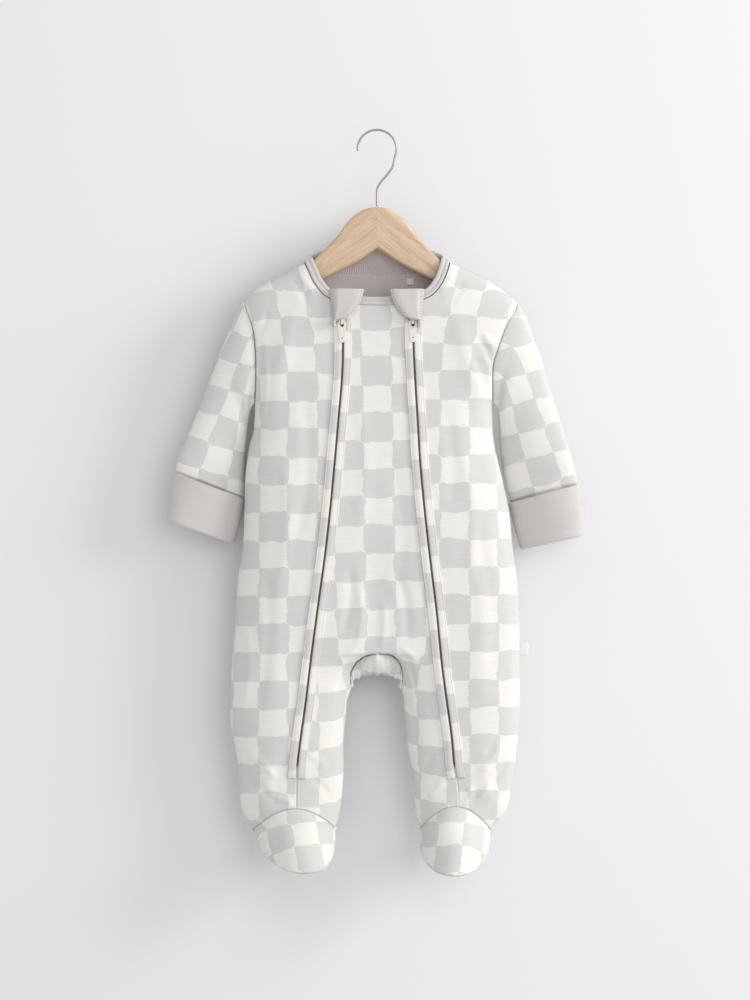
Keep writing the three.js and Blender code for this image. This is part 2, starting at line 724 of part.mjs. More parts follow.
// Feet: the upper runs from the ankle seam to the toe edge, the back of the leg down to the
// heel edge, and the sole spans the loop of both edges.
for (const hand of ["left", "right"]) {
  const turned = hand === "left";
  const { front, back } = rows[hand];
  const ankle = front[ankleRow];
  const edgeAt = (table, share) => {
    const at = share * (table.length - 1);
    const drop = alongRows(table, "drop", at);
    return new THREE.Vector3(alongRows(table, "x", at), alongRows(table, "y", at), -drop);
  };
  const toe = ankle.map((p, i) => edgeAt(toeEdge[hand], i / acrossHalf));
  const heel = ankle.map((p, i) => edgeAt(heelEdge[hand], i / acrossHalf));
  for (const edge of [toe, heel]) {
    edge[0] = ankle[0].clone();
    edge[acrossHalf] = ankle[acrossHalf].clone();
  }
  const span = (from, to, steps, bulge, way) => Array.from({ length: steps + 1 }, (_, r) =>
    from.map((p, i) => {
      const t = r / steps;
      const upDown = Math.sin(Math.PI * t) ** 0.9;
      const across = Math.sin((Math.PI * i) / acrossHalf) ** 0.6;
      const lift = r === 0 || r === steps ? 0 : bulge * upDown * across;
      return p.clone().lerp(to[i], t).addScaledVector(way, lift);
    }));
  const outward = new THREE.Vector3(0, -1, 0.75).normalize();
  const backward = new THREE.Vector3(0, 1, -0.4).normalize();
  addGrid("foot_upper_" + hand, span(ankle, toe, upperRows, upperBulge, outward), turned);
  const heelCloth = span(back[ankleRow], heel, heelRows, heelBulge, backward);
  addGrid("back_leg_" + hand, heelCloth, !turned);
  const loop = [...toe, ...heel.slice(1, -1).reverse()];
  const middle = new THREE.Vector3();
  loop.forEach((p) => middle.addScaledVector(p, 1 / loop.length));
  const down = new THREE.Vector3(0, 0.34, -1).normalize();
  const rings = soleReaches.map((reach) => loop.map((p) => middle.clone().lerp(p, reach)
    .addScaledVector(down, soleBulge * (1 - reach ** 3))));
  rings.forEach((ring) => ring.push(ring[0].clone()));
  addGrid("foot_sole_" + hand, rings, !turned);
}

// Sleeves: rings from the armhole seam to under the cuff.
for (const hand of ["left", "right"]) {
  const sections = sleeveSections[hand];
  const { front, back } = rows[hand];
  const half = (side, seam) => sections.map((section, r) => seam.map((seamPoint, k) => {
    if (r === 0) return seamPoint.clone();
    const angle = (Math.PI * k) / armholeRows;
    const share = (1 - Math.cos(angle)) / 2;
    const straight = lerp(sections[0].outer, sections[0].inner, share);
    const bow = (seamPoint.x - straight) * (1 - r / (sections.length - 1)) ** 2;
    const depth = section.depth * Math.sin(angle) * (side === "front" ? -1 : 1);
    const onFold = k === 0 || k === armholeRows;
    return new THREE.Vector3(lerp(section.outer, section.inner, share) + bow,
      section.shift * share + (onFold ? 0 : depth),
      -lerp(section.outerDrop, section.innerDrop, share));
  }));
  const frontSeam = front.slice(0, underarmRow + 1).map((row) => row[0]);
  const backSeam = back.slice(0, underarmRow + 1).map((row) => row[0]);
  addGrid("sleeve_" + hand, half("front", frontSeam), hand === "left");
  addGrid("sleeve_" + hand, half("back", backSeam), hand === "right");
}

// Gusset: at each place along the arch a half round from the front seam, under, to the back.
const archPlaces = [...arch.map((row) => ({ ...row, x: row.left, drop: row.leftDrop })).reverse(),
  ...arch.slice(1).map((row) => ({ ...row, x: row.right, drop: row.rightDrop }))];
const gussetTurns = [-90, -60, -30, 0, 30, 60, 90];
const gussetNarrow = 0.93;
function seamOfArch(side, index) {
  const step = index - archRows;
  const hand = step < 0 ? "left" : "right";
  return rows[hand][side][archRow + Math.abs(step)][acrossHalf];
}
addGrid("crotch_gusset", gussetTurns.map((turn) => archPlaces.map((place, index) => {
  if (Math.abs(turn) === 90) return seamOfArch(turn < 0 ? "front" : "back", index).clone();
  if (place.front === 0) return seamOfArch("front", index).clone();
  const angle = THREE.MathUtils.degToRad(turn);
  const depth = turn < 0 ? place.front : place.back;
  return new THREE.Vector3(lerp(place.x, place.x * gussetNarrow, Math.cos(angle)), depth * Math.sin(angle),
    -lerp(place.drop, place.low, Math.cos(angle)));
})), true);

const normals = poolNormals();
const group = new THREE.Group();
function addMesh(name, geometry, material) {
  const mesh = new THREE.Mesh(geometry, material);
  mesh.name = name;
  group.add(mesh);
  return mesh;
}

// A point lies on a zip when it is on the zip's line above the zip's end.
const onLine = 0.2;
function onZip(point) {
  const zipTop = neckEdge[neckRows].drop;
  if (-point.z > zipEnd || -point.z < zipTop - onLine || point.y > 0) return false;
  const hand = point.x < 0 ? "left" : "right";
  return Math.abs(point.x - along(zipLine, "drop", hand, -point.z)) < onLine;
}
const underarms = ["left", "right"].map((hand) => rows[hand].front[underarmRow][0]);
const nearUnderarm = (point) => underarms.some((spot) => spot.distanceTo(point) < crowdedReach);
const drawIn = (point) => {
  if (nearUnderarm(point)) return crowdedDrawIn;
  return onZip(point) ? zipGap / 2 : seamGap / 2;
};
for (const panel of pool.faces.keys()) {
  const crowded = panel.startsWith("foot_sole") || panel === "crotch_gusset";
  addMesh(panel, panelWall(panel, normals, crowded ? () => crowdedDrawIn : drawIn), printed());
}

// A strip laid on the cloth, from grids of places, each with a point and its normal. Grids that
// meet share their places.
function slab(grids, [low, high]) {
  const points = [];
  const directions = [];
  const ids = new Map();
  const faces = [];
  const idOf = ({ point, normal }) => {
    const key = point.toArray().map((v) => v.toFixed(3)).join();
    if (!ids.has(key)) {
      ids.set(key, points.length);
      points.push(point);
      directions.push(normal);
    }
    return ids.get(key);
  };
  for (const grid of grids)
    for (let r = 0; r < grid.length - 1; r++)
      for (let c = 0; c < grid[r].length - 1; c++) {
        const quad = [grid[r][c], grid[r + 1][c], grid[r + 1][c + 1], grid[r][c + 1]].map(idOf);
        faces.push([quad[0], quad[1], quad[2]], [quad[0], quad[2], quad[3]]);
      }
  return wall(points, directions, faces, high, low);
}

const normalOf = (point) => normals[pooled(point)];
function between(a, b, t) {
  const normal = a.normal.clone().lerp(b.normal, t).normalize();
  return { point: a.point.clone().lerp(b.point, t), normal };
}

// Place on a body row at a given x, and between two rows.
function onRow(row, x) {
  const rising = row.at(-1).x > row[0].x;
  let i = 0;
  while (i < row.length - 2 && (rising ? x > row[i + 1].x : x < row[i + 1].x)) i++;
  const t = (x - row[i].x) / (row[i + 1].x - row[i].x);
  const place = (p) => ({ point: p, normal: normalOf(p) });
  return between(place(row[i]), place(row[i + 1]), t);
}
function onBody(hand, side, k, x) {
  const low = Math.floor(clamp(k, 0, ankleRow - 1e-6));
  const body = rows[hand][side];
  return between(onRow(body[low], x(low)), onRow(body[low + 1], x(low + 1)), k - low);
}

// Row number at which a zip's line reaches a drop.
function zipRow(hand, drop) {
  const body = rows[hand].front;
  let k = neckRows;
  while (-body[k + 1][sideColumns].z < drop) k++;
  const top = -body[k][sideColumns].z;
  return k + (drop - top) / (-body[k + 1][sideColumns].z - top);
}

// Rows of places that follow a zip, at offsets from its line.
function followZip(hand, from, to, offsets) {
  const first = zipRow(hand, from);
  const last = zipRow(hand, to);
  const stations = [first];
  for (let k = Math.ceil(first + 0.02); k < last - 0.02; k++) stations.push(k);
  stations.push(last);
  return stations.map((k) => offsets.map((offset) =>
    onBody(hand, "front", k, (row) => rows[hand].front[row][sideColumns].x + offset)));
}

for (const hand of ["left", "right"]) {
  const strip = [stripInner, stripInner + stripWidth / 2, stripInner + stripWidth];
  const columns = [...strip.map((v) => -v).reverse(), ...strip];
  const arms = followZip(hand, weltTop, zipEnd + 1, columns);
  const foot = followZip(hand, zipEnd + 1, weltEnd, columns);
  const left = arms.map((row) => row.slice(0, strip.length));
  const right = arms.map((row) => row.slice(strip.length));
  addMesh("zip_welt_" + hand, slab([left, right, foot], weltOff), printed());
  const tapeTop = neckEdge[neckRows].drop + tapeStart;
  const tape = followZip(hand, tapeTop, weltEnd - tapeStart, [-tapeHalf, 0, tapeHalf]);
  addMesh("zip_tape_" + hand, slab([tape], tapeOff), finish(0xd8d2c4, 0.85));
}

// Hard parts of the zips
const wasm = await Module();
wasm.setup();
function solidOf(geometry) {
  const bare = geometry.index ? geometry.toNonIndexed() : geometry.clone();
  bare.deleteAttribute("normal");
  bare.deleteAttribute("uv");
  const merged = mergeVertices(bare, 1e-4);
  return new wasm.Manifold(new wasm.Mesh({ numProp: 3,
    vertProperties: new Float32Array(merged.attributes.position.array),
    triVerts: new Uint32Array(merged.index.array) }));
}
function geometryOf(solid) {
  const mesh = solid.getMesh();
  const geometry = new THREE.BufferGeometry();
  geometry.setAttribute("position", new THREE.Float32BufferAttribute(mesh.vertProperties, 3));
  geometry.setIndex([...mesh.triVerts]);
  geometry.computeVertexNormals();
  return geometry;
}
function boxBetween(low, high) {
  const size = high.map((v, i) => v - low[i]);
  return new THREE.BoxGeometry(...size).translate(...high.map((v, i) => (v + low[i]) / 2));
}

// Slider in its own frame: X across the zip, Z up along it, -Y outwards from the cloth.
function sliderGeometry() {
  const { wide, tall, plate, bridgeUnder, bridgeTop, bridgeWide, bridgeEnd, leg } = slider;
  const halfBridge = bridgeWide / 2;
  const foot = -tall / 2;
  const head = tall / 2 - bridgeEnd;
  const block = (x, off, z) => solidOf(boxBetween([-x, -off[1], z[0]], [x, -off[0], z[1]]));
  const parts = [
    block(wide / 2, plate, [-tall / 2, tall / 2]),
    block(halfBridge, [bridgeUnder, bridgeTop], [foot, head]),
    block(halfBridge, [plate[0], bridgeTop], [foot, foot + leg]),
    block(halfBridge, [plate[0], bridgeTop], [head - leg, head]),
  ];
  return geometryOf(parts.reduce((joined, part) => joined.add(part)));
}

// Pull tab in its own frame: the hinge line is X through the origin and the tab hangs down.
function pullGeometry() {
  const { thick, topWide, tipWide, length, bar, slotWide, slotLong, hole, corner } = pull;
  const top = bar / 2;
  const rightSide = [
    [topWide / 2 - corner, top],
    [topWide / 2, top - corner],
    [topWide / 2 - pull.taper, top - pull.shoulder],
    [tipWide / 2, pull.tipCorner - length],
    [tipWide / 2 - corner, -length],
  ].map(([x, y]) => new THREE.Vector2(x, y));
  const leftSide = rightSide.map((p) => new THREE.Vector2(-p.x, p.y)).reverse();
  const shape = new THREE.Shape([...rightSide, ...leftSide]);
  const slot = new THREE.Path();
  const half = slotWide / 2;
  slot.moveTo(-half, top - bar);
  slot.lineTo(-half, top - bar - slotLong + half);
  slot.absarc(0, top - bar - slotLong + half, half, Math.PI, 2 * Math.PI, false);
  slot.lineTo(half, top - bar);
  slot.closePath();
  const eye = new THREE.Path(Array.from({ length: 10 }, (_, i) =>
    new THREE.Vector2(hole, 0).rotateAround(new THREE.Vector2(), (2 * Math.PI * i) / 10)
      .add(new THREE.Vector2(0, pull.holeUp - length))));
  shape.holes.push(slot, eye);
  const options = { depth: thick, bevelEnabled: false, curveSegments: 8 };
  const flat = new THREE.ExtrudeGeometry(shape, options);
  return flat.translate(0, 0, -thick / 2).rotateX(Math.PI / 2);
}

for (const hand of ["left", "right"]) {
  const k = zipRow(hand, slider.drop[hand]);
  const seat = onBody(hand, "front", k, (row) => rows[hand].front[row][sideColumns].x);
  const mesh = addMesh("zip_slider_" + hand, sliderGeometry(), finish(0xeee9dc, 0.45));
  mesh.position.copy(seat.point);
  const tab = addMesh("pull_tab_" + hand, pullGeometry(), finish(0xf0ecde, 0.4));
  const hingeDown = slider.tall / 2 - slider.leg - barAboveLeg - pull.bar / 2;
  tab.position.set(seat.point.x, seat.point.y - pull.off, seat.point.z - hingeDown);
}

// Zip guards: a flap with a fold along its top, close to the cloth at its sewn side and
// standing off over the slider.
for (const hand of ["left", "right"]) {
  const sign = hand === "left" ? -1 : 1;
  const riseAt = (u) => Math.sin((Math.PI / 2) * Math.min(1, u / guardRise));
  const stand = (u, sewn, tuck) => {
    const rise = riseAt(u);
    const tucked = clamp((u - guardTuckFrom) / (1 - guardTuckFrom), 0, 1) ** 2;
    return sewn + (guardOff - sewn) * rise - tuck * tucked;
  };
  const placeAt = (section, u, back) => {
    const x = sign * lerp(section.outer, section.inner, u);
    const nearDrop = Math.max(section.drop, guardLevelAbove);
    const sewn = section.drop < neckEdge[neckRows].drop ? guardSewnOverBinding : guardSewn;
    const tuck = section.drop < guardTuckEnd ? guardTuck : 0;
    const clothDepth = bodyDepth(x, nearDrop, "front") + foldHeight(x, nearDrop, "front");
    const folded = back * lerp(guardFoldAtSeam, 1, riseAt(u));
    return new THREE.Vector3(x, folded - clothDepth - stand(u, sewn, tuck), -section.drop);
  };
  const lip = { ...guardSections[0], drop: guardSections[0].drop + guardLipDown };
  const grid = [guardAcross.map((u) => placeAt(lip, u, guardFoldBack[0])),
    ...guardSections.map((section, r) =>
      guardAcross.map((u) => placeAt(section, u, r === 0 ? guardFoldBack[1] : 0)))];
  const sheet = grid.map((row) => row.map((point) => ({ point })));
  grid.forEach((row, r) => row.forEach((point, c) => {
    const below = grid[Math.min(r + 1, grid.length - 1)][c];
    const down = below.clone().sub(grid[Math.max(r - 1, 0)][c]);
    const side = row[Math.min(c + 1, row.length - 1)].clone().sub(row[Math.max(c - 1, 0)]);
    sheet[r][c].normal = down.cross(side).normalize().multiplyScalar(-sign);
  }));
  addMesh("zip_guard_" + hand, slab([sheet], [0, guardThick]), plain());
}

// Neck bindings: a strip along the neck seam that leans in towards a point inside the neck.
function binding(seam) {
  const last = seam.length - 1;
  const places = seam.map((point, i) => {
    const run = seam[Math.min(i + 1, last)].clone().sub(seam[Math.max(i - 1, 0)]).normalize();
    const reach = neckFocus.clone().sub(point);
    if (point.y > 0) reach.y = 0;
    reach.addScaledVector(run, -reach.dot(run)).normalize();
    const cut = i === 0 ? bindingEndCut : i === last ? -bindingEndCut : 0;
    return { point: point.clone().addScaledVector(run, cut), reach, seamNormal: normalOf(point),
      normal: reach.clone().cross(run).normalize() };
  });
  return [seamGap / 2, bindingWide / 2, bindingWide].map((far, row) =>
    places.map(({ point, reach, normal, seamNormal }) => {
      const outward = normal.clone().multiplyScalar(Math.sign(normal.dot(seamNormal)));
      return {
        point: point.clone().addScaledVector(reach, far),
        normal: row === 0 ? seamNormal : outward,
      };
    }));
}
const neckOf = (hand) => rows[hand].front.slice(0, neckRows + 1).map((row) => row[sideColumns]);
const backNeckRight = rows.right.back[0].slice(sideColumns, -1).reverse();
const backNeck = [...rows.left.back[0].slice(sideColumns + 1), ...backNeckRight];
const neckLoop = [...neckOf("left").reverse(), ...backNeck, ...neckOf("right").slice(1)];
addMesh("neck_binding", slab([binding(neckLoop)], bindingOff), plain());
const centreTop = [...rows.left.front[neckRows].slice(sideColumns),
  ...rows.right.front[neckRows].slice(sideColumns, -1).reverse()];
addMesh("centre_binding", slab([binding(centreTop)], bindingOff), plain());

// Back neck facing on the inside of the back, and the small tab sewn on its edge.
const facingColumns = [-1, -0.8, -0.5, -0.2, 0, 0.2, 0.5, 0.8, 1];
const facingRows = [0.35, 1, 2, 3, 4];
const facingRound = 0.96;
const facingGrid = facingRows.map((k, r) => facingColumns.map((u) => {
  const hand = u < 0 ? "left" : "right";
  const depth = lerp(0.5, 1, Math.sqrt(1 - u * u * facingRound));
  const row = r === 0 ? k : lerp(facingRows[0], k, depth);
  return onBody(hand, "back", row, () => facingHalf * (u || 1e-6));
}));
addMesh("back_facing", slab([facingGrid], facingOff), plain());

const neckTab = { left: 26, right: 33, rows: [2.5, 3], off: [-4.8, -4.1] };
const tabGrid = neckTab.rows.map((k) =>
  [neckTab.left, neckTab.right].map((x) => onBody("right", "back", k, () => x)));
addMesh("neck_tab", slab([tabGrid], neckTab.off), finish(0xd9d5cf, 0.8));

// Side seam tab: stands out of the right side seam.
const sideTab = { drop: 472, gap: 0.4, wide: 7.5, tall: 11, thick: 1 };
const tabEdge = along(outline, "drop", "right", sideTab.drop) + sideTab.gap;
const tabLow = [tabEdge, -sideTab.thick / 2, -sideTab.drop - sideTab.tall / 2];
const tabHigh = [tabEdge + sideTab.wide, sideTab.thick / 2, -sideTab.drop + sideTab.tall / 2];
addMesh("side_label", boxBetween(tabLow, tabHigh), finish(0xf2f1ee, 0.8));

// Cuffs: each ring goes once round the sleeve, and the rings follow the wall's closed outline.
const around = 2 * armholeRows;
function cuffRing(hand, { down, out, slit }) {
  const { top, bottom } = cuffCorners[hand];
  const edge = (side) => new THREE.Vector3(lerp(top[side], bottom[side], down), 0,
    -lerp(top[side + "Drop"], bottom[side + "Drop"], down));
  const middle = edge("outer").lerp(edge("inner"), 0.5);
  const halfSide = edge("inner").sub(middle);
  const half = halfSide.length();
  return Array.from({ length: around }, (_, i) => {
    const angle = (2 * Math.PI * i) / around;
    const share = (1 - Math.cos(angle)) / 2;
    const gape = slit * slitOpening * Math.max(0, Math.sin(angle)) ** 1.5;
    const point = middle.clone().addScaledVector(halfSide, (-Math.cos(angle) * (half + out)) / half);
    point.y = cuffShift * share - Math.sin(angle) * (cuffDepth + out) - gape;
    return point;
  });
}
for (const hand of ["left", "right"]) {
  const rings = cuffProfile.map((place) => cuffRing(hand, place));
  const points = rings.flat().flatMap((point) => point.toArray());
  const faces = [];
  rings.forEach((ring, r) => {
    const next = (r + 1) % rings.length;
    for (let i = 0; i < around; i++) {
      const after = (i + 1) % around;
      const [a, b] = [r * around + i, r * around + after];
      const [c, d] = [next * around + after, next * around + i];
      faces.push(a, b, c, a, c, d);
    }
  });
  addMesh("cuff_" + hand, closedBody(points, faces), plain());
}

// Hanger
function hangerGeometry() {
  const right = [...hangerTop, ...hangerLow].map(({ x, drop }) => new THREE.Vector2(x, -drop));
  const left = right.slice(1, -1).reverse().map((p) => new THREE.Vector2(-p.x, p.y));
  const shape = new THREE.Shape([...right, ...left]);
  const flat = hangerThick - 2 * hangerRound;
  const inset = hangerRound * 0.7;
  const solid = new THREE.ExtrudeGeometry(shape, {
    depth: flat,
    bevelEnabled: true,
    bevelThickness: hangerRound,
    bevelSize: inset,
    bevelOffset: -inset,
    bevelSegments: 3,
  });
  return solid.translate(0, 0, -flat / 2).rotateX(Math.PI / 2);
}
addMesh("hanger_wood", hangerGeometry(), finish(0xdebe9e, 0.6));

// Hook: a shank, an S bend to the side and three quarters of a ring.
function hookGeometry() {
  const shankFoot = -hangerTop[0].drop + hookSeat + 0.1;
  const centre = -(hookRadius - wireRadius);
  const points = [[0, shankFoot], [0, -60], [0.2, -53], [3, -47.2], [8.6, -40.6], [14, -33]];
  for (let turn = -25; turn <= 185; turn += 15) {
    const angle = THREE.MathUtils.degToRad(turn);
    points.push([hookRadius * Math.cos(angle), centre + hookRadius * Math.sin(angle)]);
  }
  const path = new THREE.CatmullRomCurve3(points.map(([x, z]) => new THREE.Vector3(x, 0, z)));
  const section = new THREE.Shape();
  section.absarc(0, 0, wireRadius, 0, 2 * Math.PI, false);
  return new THREE.ExtrudeGeometry(section, { steps: 44, curveSegments: 4, extrudePath: path });
}
addMesh("hanger_hook", hookGeometry(), finish(0xb9bbbd, 0.3, 1));

export default group;
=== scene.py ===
import math

import bmesh
import bpy
import numpy as np
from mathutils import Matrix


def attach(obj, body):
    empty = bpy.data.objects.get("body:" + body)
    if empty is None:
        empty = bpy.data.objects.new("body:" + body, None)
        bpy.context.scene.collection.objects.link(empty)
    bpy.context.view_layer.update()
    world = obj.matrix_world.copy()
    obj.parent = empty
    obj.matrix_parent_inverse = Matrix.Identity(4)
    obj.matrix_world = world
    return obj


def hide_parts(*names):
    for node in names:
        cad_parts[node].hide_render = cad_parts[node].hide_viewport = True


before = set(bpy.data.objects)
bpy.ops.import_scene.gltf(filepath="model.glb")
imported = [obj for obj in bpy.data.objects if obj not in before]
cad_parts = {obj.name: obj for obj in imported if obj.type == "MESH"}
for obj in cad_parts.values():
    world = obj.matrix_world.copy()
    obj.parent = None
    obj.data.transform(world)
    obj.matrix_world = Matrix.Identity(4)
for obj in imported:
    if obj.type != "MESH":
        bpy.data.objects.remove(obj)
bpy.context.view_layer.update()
scene = bpy.context.scene
rng = np.random.default_rng(7)
print("frame loaded")

# Sizes are in millimetres here, with "drop" the distance below the hook's inner top. Meshes are
# scaled to metres when they are made. The front faces -Y.
mm = 0.001

outline = {  # side silhouettes of the body and its depth before and behind the side seams
    "drop": [235, 247, 272, 289, 318, 345, 377, 409, 440, 472, 509, 536, 559, 577, 597, 618, 636],
    "left": [-111, -111, -112.4, -116.6, -120.1, -120.6, -122.1, -126.7, -128.4, -131.2, -133,
             -133.2, -129.9, -126.3, -125, -123, -112],
    "right": [105, 105, 105.4, 107.6, 114.2, 120.1, 123.3, 127.4, 129.4, 129.8, 129.9, 129.7,
              127.4, 125.4, 121.8, 117.5, 103],
    "front": [21, 21, 23, 24, 25, 26, 26, 25, 24, 23, 23, 22, 21, 21, 20, 20, 20],
    "back": [19, 19, 20, 20, 21, 22, 23, 23, 22, 21, 20, 20, 19, 19, 19, 19, 20],
}
zipLine = {  # line of each zip and of the seam below it
    "drop": [156.5, 194, 227, 262, 302, 348, 390, 437, 483, 518, 551, 577, 595, 613],
    "left": [-32.3, -30.9, -31.9, -34.9, -38.4, -42.8, -47.7, -54.2, -60.3, -64.6, -69.2, -72.3,
             -73, -73.2],
    "right": [32.3, 33, 34.6, 36.7, 39.1, 43.4, 48.2, 54, 58.6, 63.3, 67.8, 70.2, 73.3, 74.6],
}
inseam = {
    "drop": [507, 518, 529, 557, 575, 598, 622, 635],
    "left": [-23.1, -27, -27.8, -30.4, -30, -30.9, -34.2, -38],
    "right": [22, 24.4, 24.8, 27.3, 30.5, 33.2, 35.5, 39.6],
}
arch = {  # arch seam over the gusset, from its top down each leg, and the gusset's lower edge
    "left": [0, -8.7, -15.5, -21.8, -24.4, -23.1],
    "leftDrop": [475, 476.8, 480.5, 487.5, 496, 507],
    "right": [0, 8.7, 15.6, 21.2, 23.6, 22],
    "rightDrop": [475, 475.6, 478, 484.5, 495, 507],
    "low": [495, 495.4, 497, 499.5, 503, 507],
    "front": [15, 14, 11.5, 8, 4.5, 0],
    "back": [13, 12, 10, 7, 4, 0],
}
armhole = {
    "drop": [154.7, 164, 173.5, 184, 197, 212, 230, 247],
    "left": [-120.8, -118.8, -115, -112.2, -110.8, -110.1, -110.3, -111],
    "right": [129.2, 125.8, 120, 115, 110.4, 105.8, 105, 105],
}
shoulder = {  # top fold of the shoulders, from sleeve to sleeve
    "x": [-120.8, -115, -105.6, -96.5, -78.3, -66, -40, 0, 40, 66, 81, 92, 107.8, 117.1, 125.6,
          129.2],
    "drop": [154.7, 147.4, 140.1, 134.9, 125.6, 118.3, 109, 104, 109, 118.3, 124.9, 130, 139.2,
             145.6, 152.9, 157],
}
neckEdge = {  # front neck edge, one place for each of the first rows
    "left": [-66, -65, -62, -56.5, -46.5, -32.3],
    "right": [66, 65.6, 63.6, 58.6, 48.4, 32.3],
    "drop": [118.3, 121, 127.5, 139, 150.5, 156.5],
}
sleeve = {
    "left": {
        "outer": [-120.8, -127.9, -136.5, -146.5, -157.4, -169.3, -180.4, -182.6, -181.8],
        "outerDrop": [154.7, 165.6, 186.6, 212, 241.2, 271.2, 294.8, 309.4, 317.9],
        "inner": [-111, -115.4, -117.4, -118.8, -119.6, -120, -120.2, -120.6, -123.8],
        "innerDrop": [247, 254, 265, 278, 293, 310, 325, 333.2, 340.1],
        "shift": [0, 2, 5, 8, 11, 13, 13, 13, 13],
        "depth": [13, 14.5, 15, 14.5, 13.5, 12.2, 11, 10.3, 9.9],
    },
    "right": {
        "outer": [129.2, 135.6, 142.4, 150.6, 158.3, 166.5, 175.6, 182.3, 181.2],
        "outerDrop": [157, 168.3, 187.5, 210.2, 237.5, 263, 292.1, 319.4, 328.7],
        "inner": [105, 109.4, 110.6, 111.2, 112, 113.6, 116.8, 121.2, 124.2],
        "innerDrop": [247, 253, 262, 273, 288, 302, 319.4, 336, 344],
        "shift": [0, 2, 5, 8, 11, 13, 13, 13, 13],
        "depth": [13, 14.5, 15, 14.5, 13.5, 12.2, 11, 10.3, 9.9],
    },
}
cuff = {
    "left": {"outer": [-182.2, -189.4], "outerDrop": [311.8, 356], "inner": [-121.8, -132.6],
             "innerDrop": [334.5, 375.6]},
    "right": {"outer": [181.6, 186], "outerDrop": [322.2, 369], "inner": [122.2, 132.8],
              "innerDrop": [338.2, 380.8]},
    "depth": 10.4,
    "shift": 13,
    "gape": 3.0,
}
foot = {
    "toe": {
        "left": {
            "x": [-112, -107.5, -101.5, -91, -76, -60, -46.5, -39.5, -37.6, -38],
            "drop": [636, 649, 657.5, 666, 671.3, 672.3, 668.5, 659, 647, 635],
            "y": [0, -12, -26, -41, -52, -54, -46, -31, -14, 0],
        },
        "right": {
            "x": [103, 102, 98, 89, 76, 63, 50, 41.5, 38.6, 39.6],
            "drop": [636, 651, 661.5, 670, 674.3, 674, 669.5, 660.5, 648, 635],
            "y": [0, -13, -27, -42, -53, -54, -45, -30, -14, 0],
        },
    },
    "heel": {
        "left": {
            "x": [-112, -105, -90, -74, -58, -44, -38],
            "drop": [636, 642, 647, 648.5, 647, 641, 635],
            "y": [0, 11, 18, 20, 18, 10, 0],
        },
        "right": {
            "x": [103, 97, 85, 71, 58, 45.5, 39.6],
            "drop": [636, 642, 647, 648.5, 647, 641, 635],
            "y": [0, 11, 18, 20, 18, 10, 0],
        },
    },
    "rise": {"left": 20, "right": 22},
    "upperBulge": 9,
    "heelBulge": 3,
    "soleBulge": 2.5,
}
body = {
    "armholeBottom": 247,
    "armholeDepth": 13,
    "archTop": 475,
    "legTop": 507,
    "neckHalf": 66,
    "zipEnd": 577,
    "weltTop": 171,
    "weltEnd": 588,
    "sleeveTip": {"left": 154.7, "right": 157},
    "neckOpen": 10,
    "neckPower": 6,
    "backShare": 0.55,
    "shoulderFall": 92,
    "shoulderPower": 2.4,
    "sidePower": 2.3,
    "centreDip": 2.5,
    "backNeck": [1, 0.94, 0.82, 0.48, 0],
    "backNeckRise": 2.7,
    "thick": 1.2,
    "seamDip": 0.75,
    "seamWidth": 1.3,
    "creaseShare": 1.4,
}
# Row numbers: the armhole ends at 10, the torso at 18, the arch at 23 and the leg at 30.
# Columns run from the side seam at 0 to the zip at 6 and the middle or the inseam at 10.
rowsAt = {"neck": 5, "underarm": 10, "arch": 18, "leg": 23, "ankle": 30}
zipColumn = 6
lastColumn = 10

# Broad folds of the hanging cloth, shared with the solids
broadFolds = {
    "front": [(-88, 215, 46, 9, 2.2, 14), (84, 212, 44, 9, 2, -16), (0, 420, 60, 16, -2, 2),
              (-96, 470, 70, 13, 1.8, -3), (98, 455, 70, 13, 1.8, 3), (-100, 596, 28, 8, 1.8, 8),
              (100, 592, 30, 8, 1.8, -10)],
    "back": [(-70, 260, 80, 14, 2.4, 8), (62, 268, 76, 13, 2.2, -10), (-8, 380, 70, 15, -2.2, 3),
             (-84, 540, 50, 11, 2, -5), (80, 530, 54, 12, 2, 6)],
}
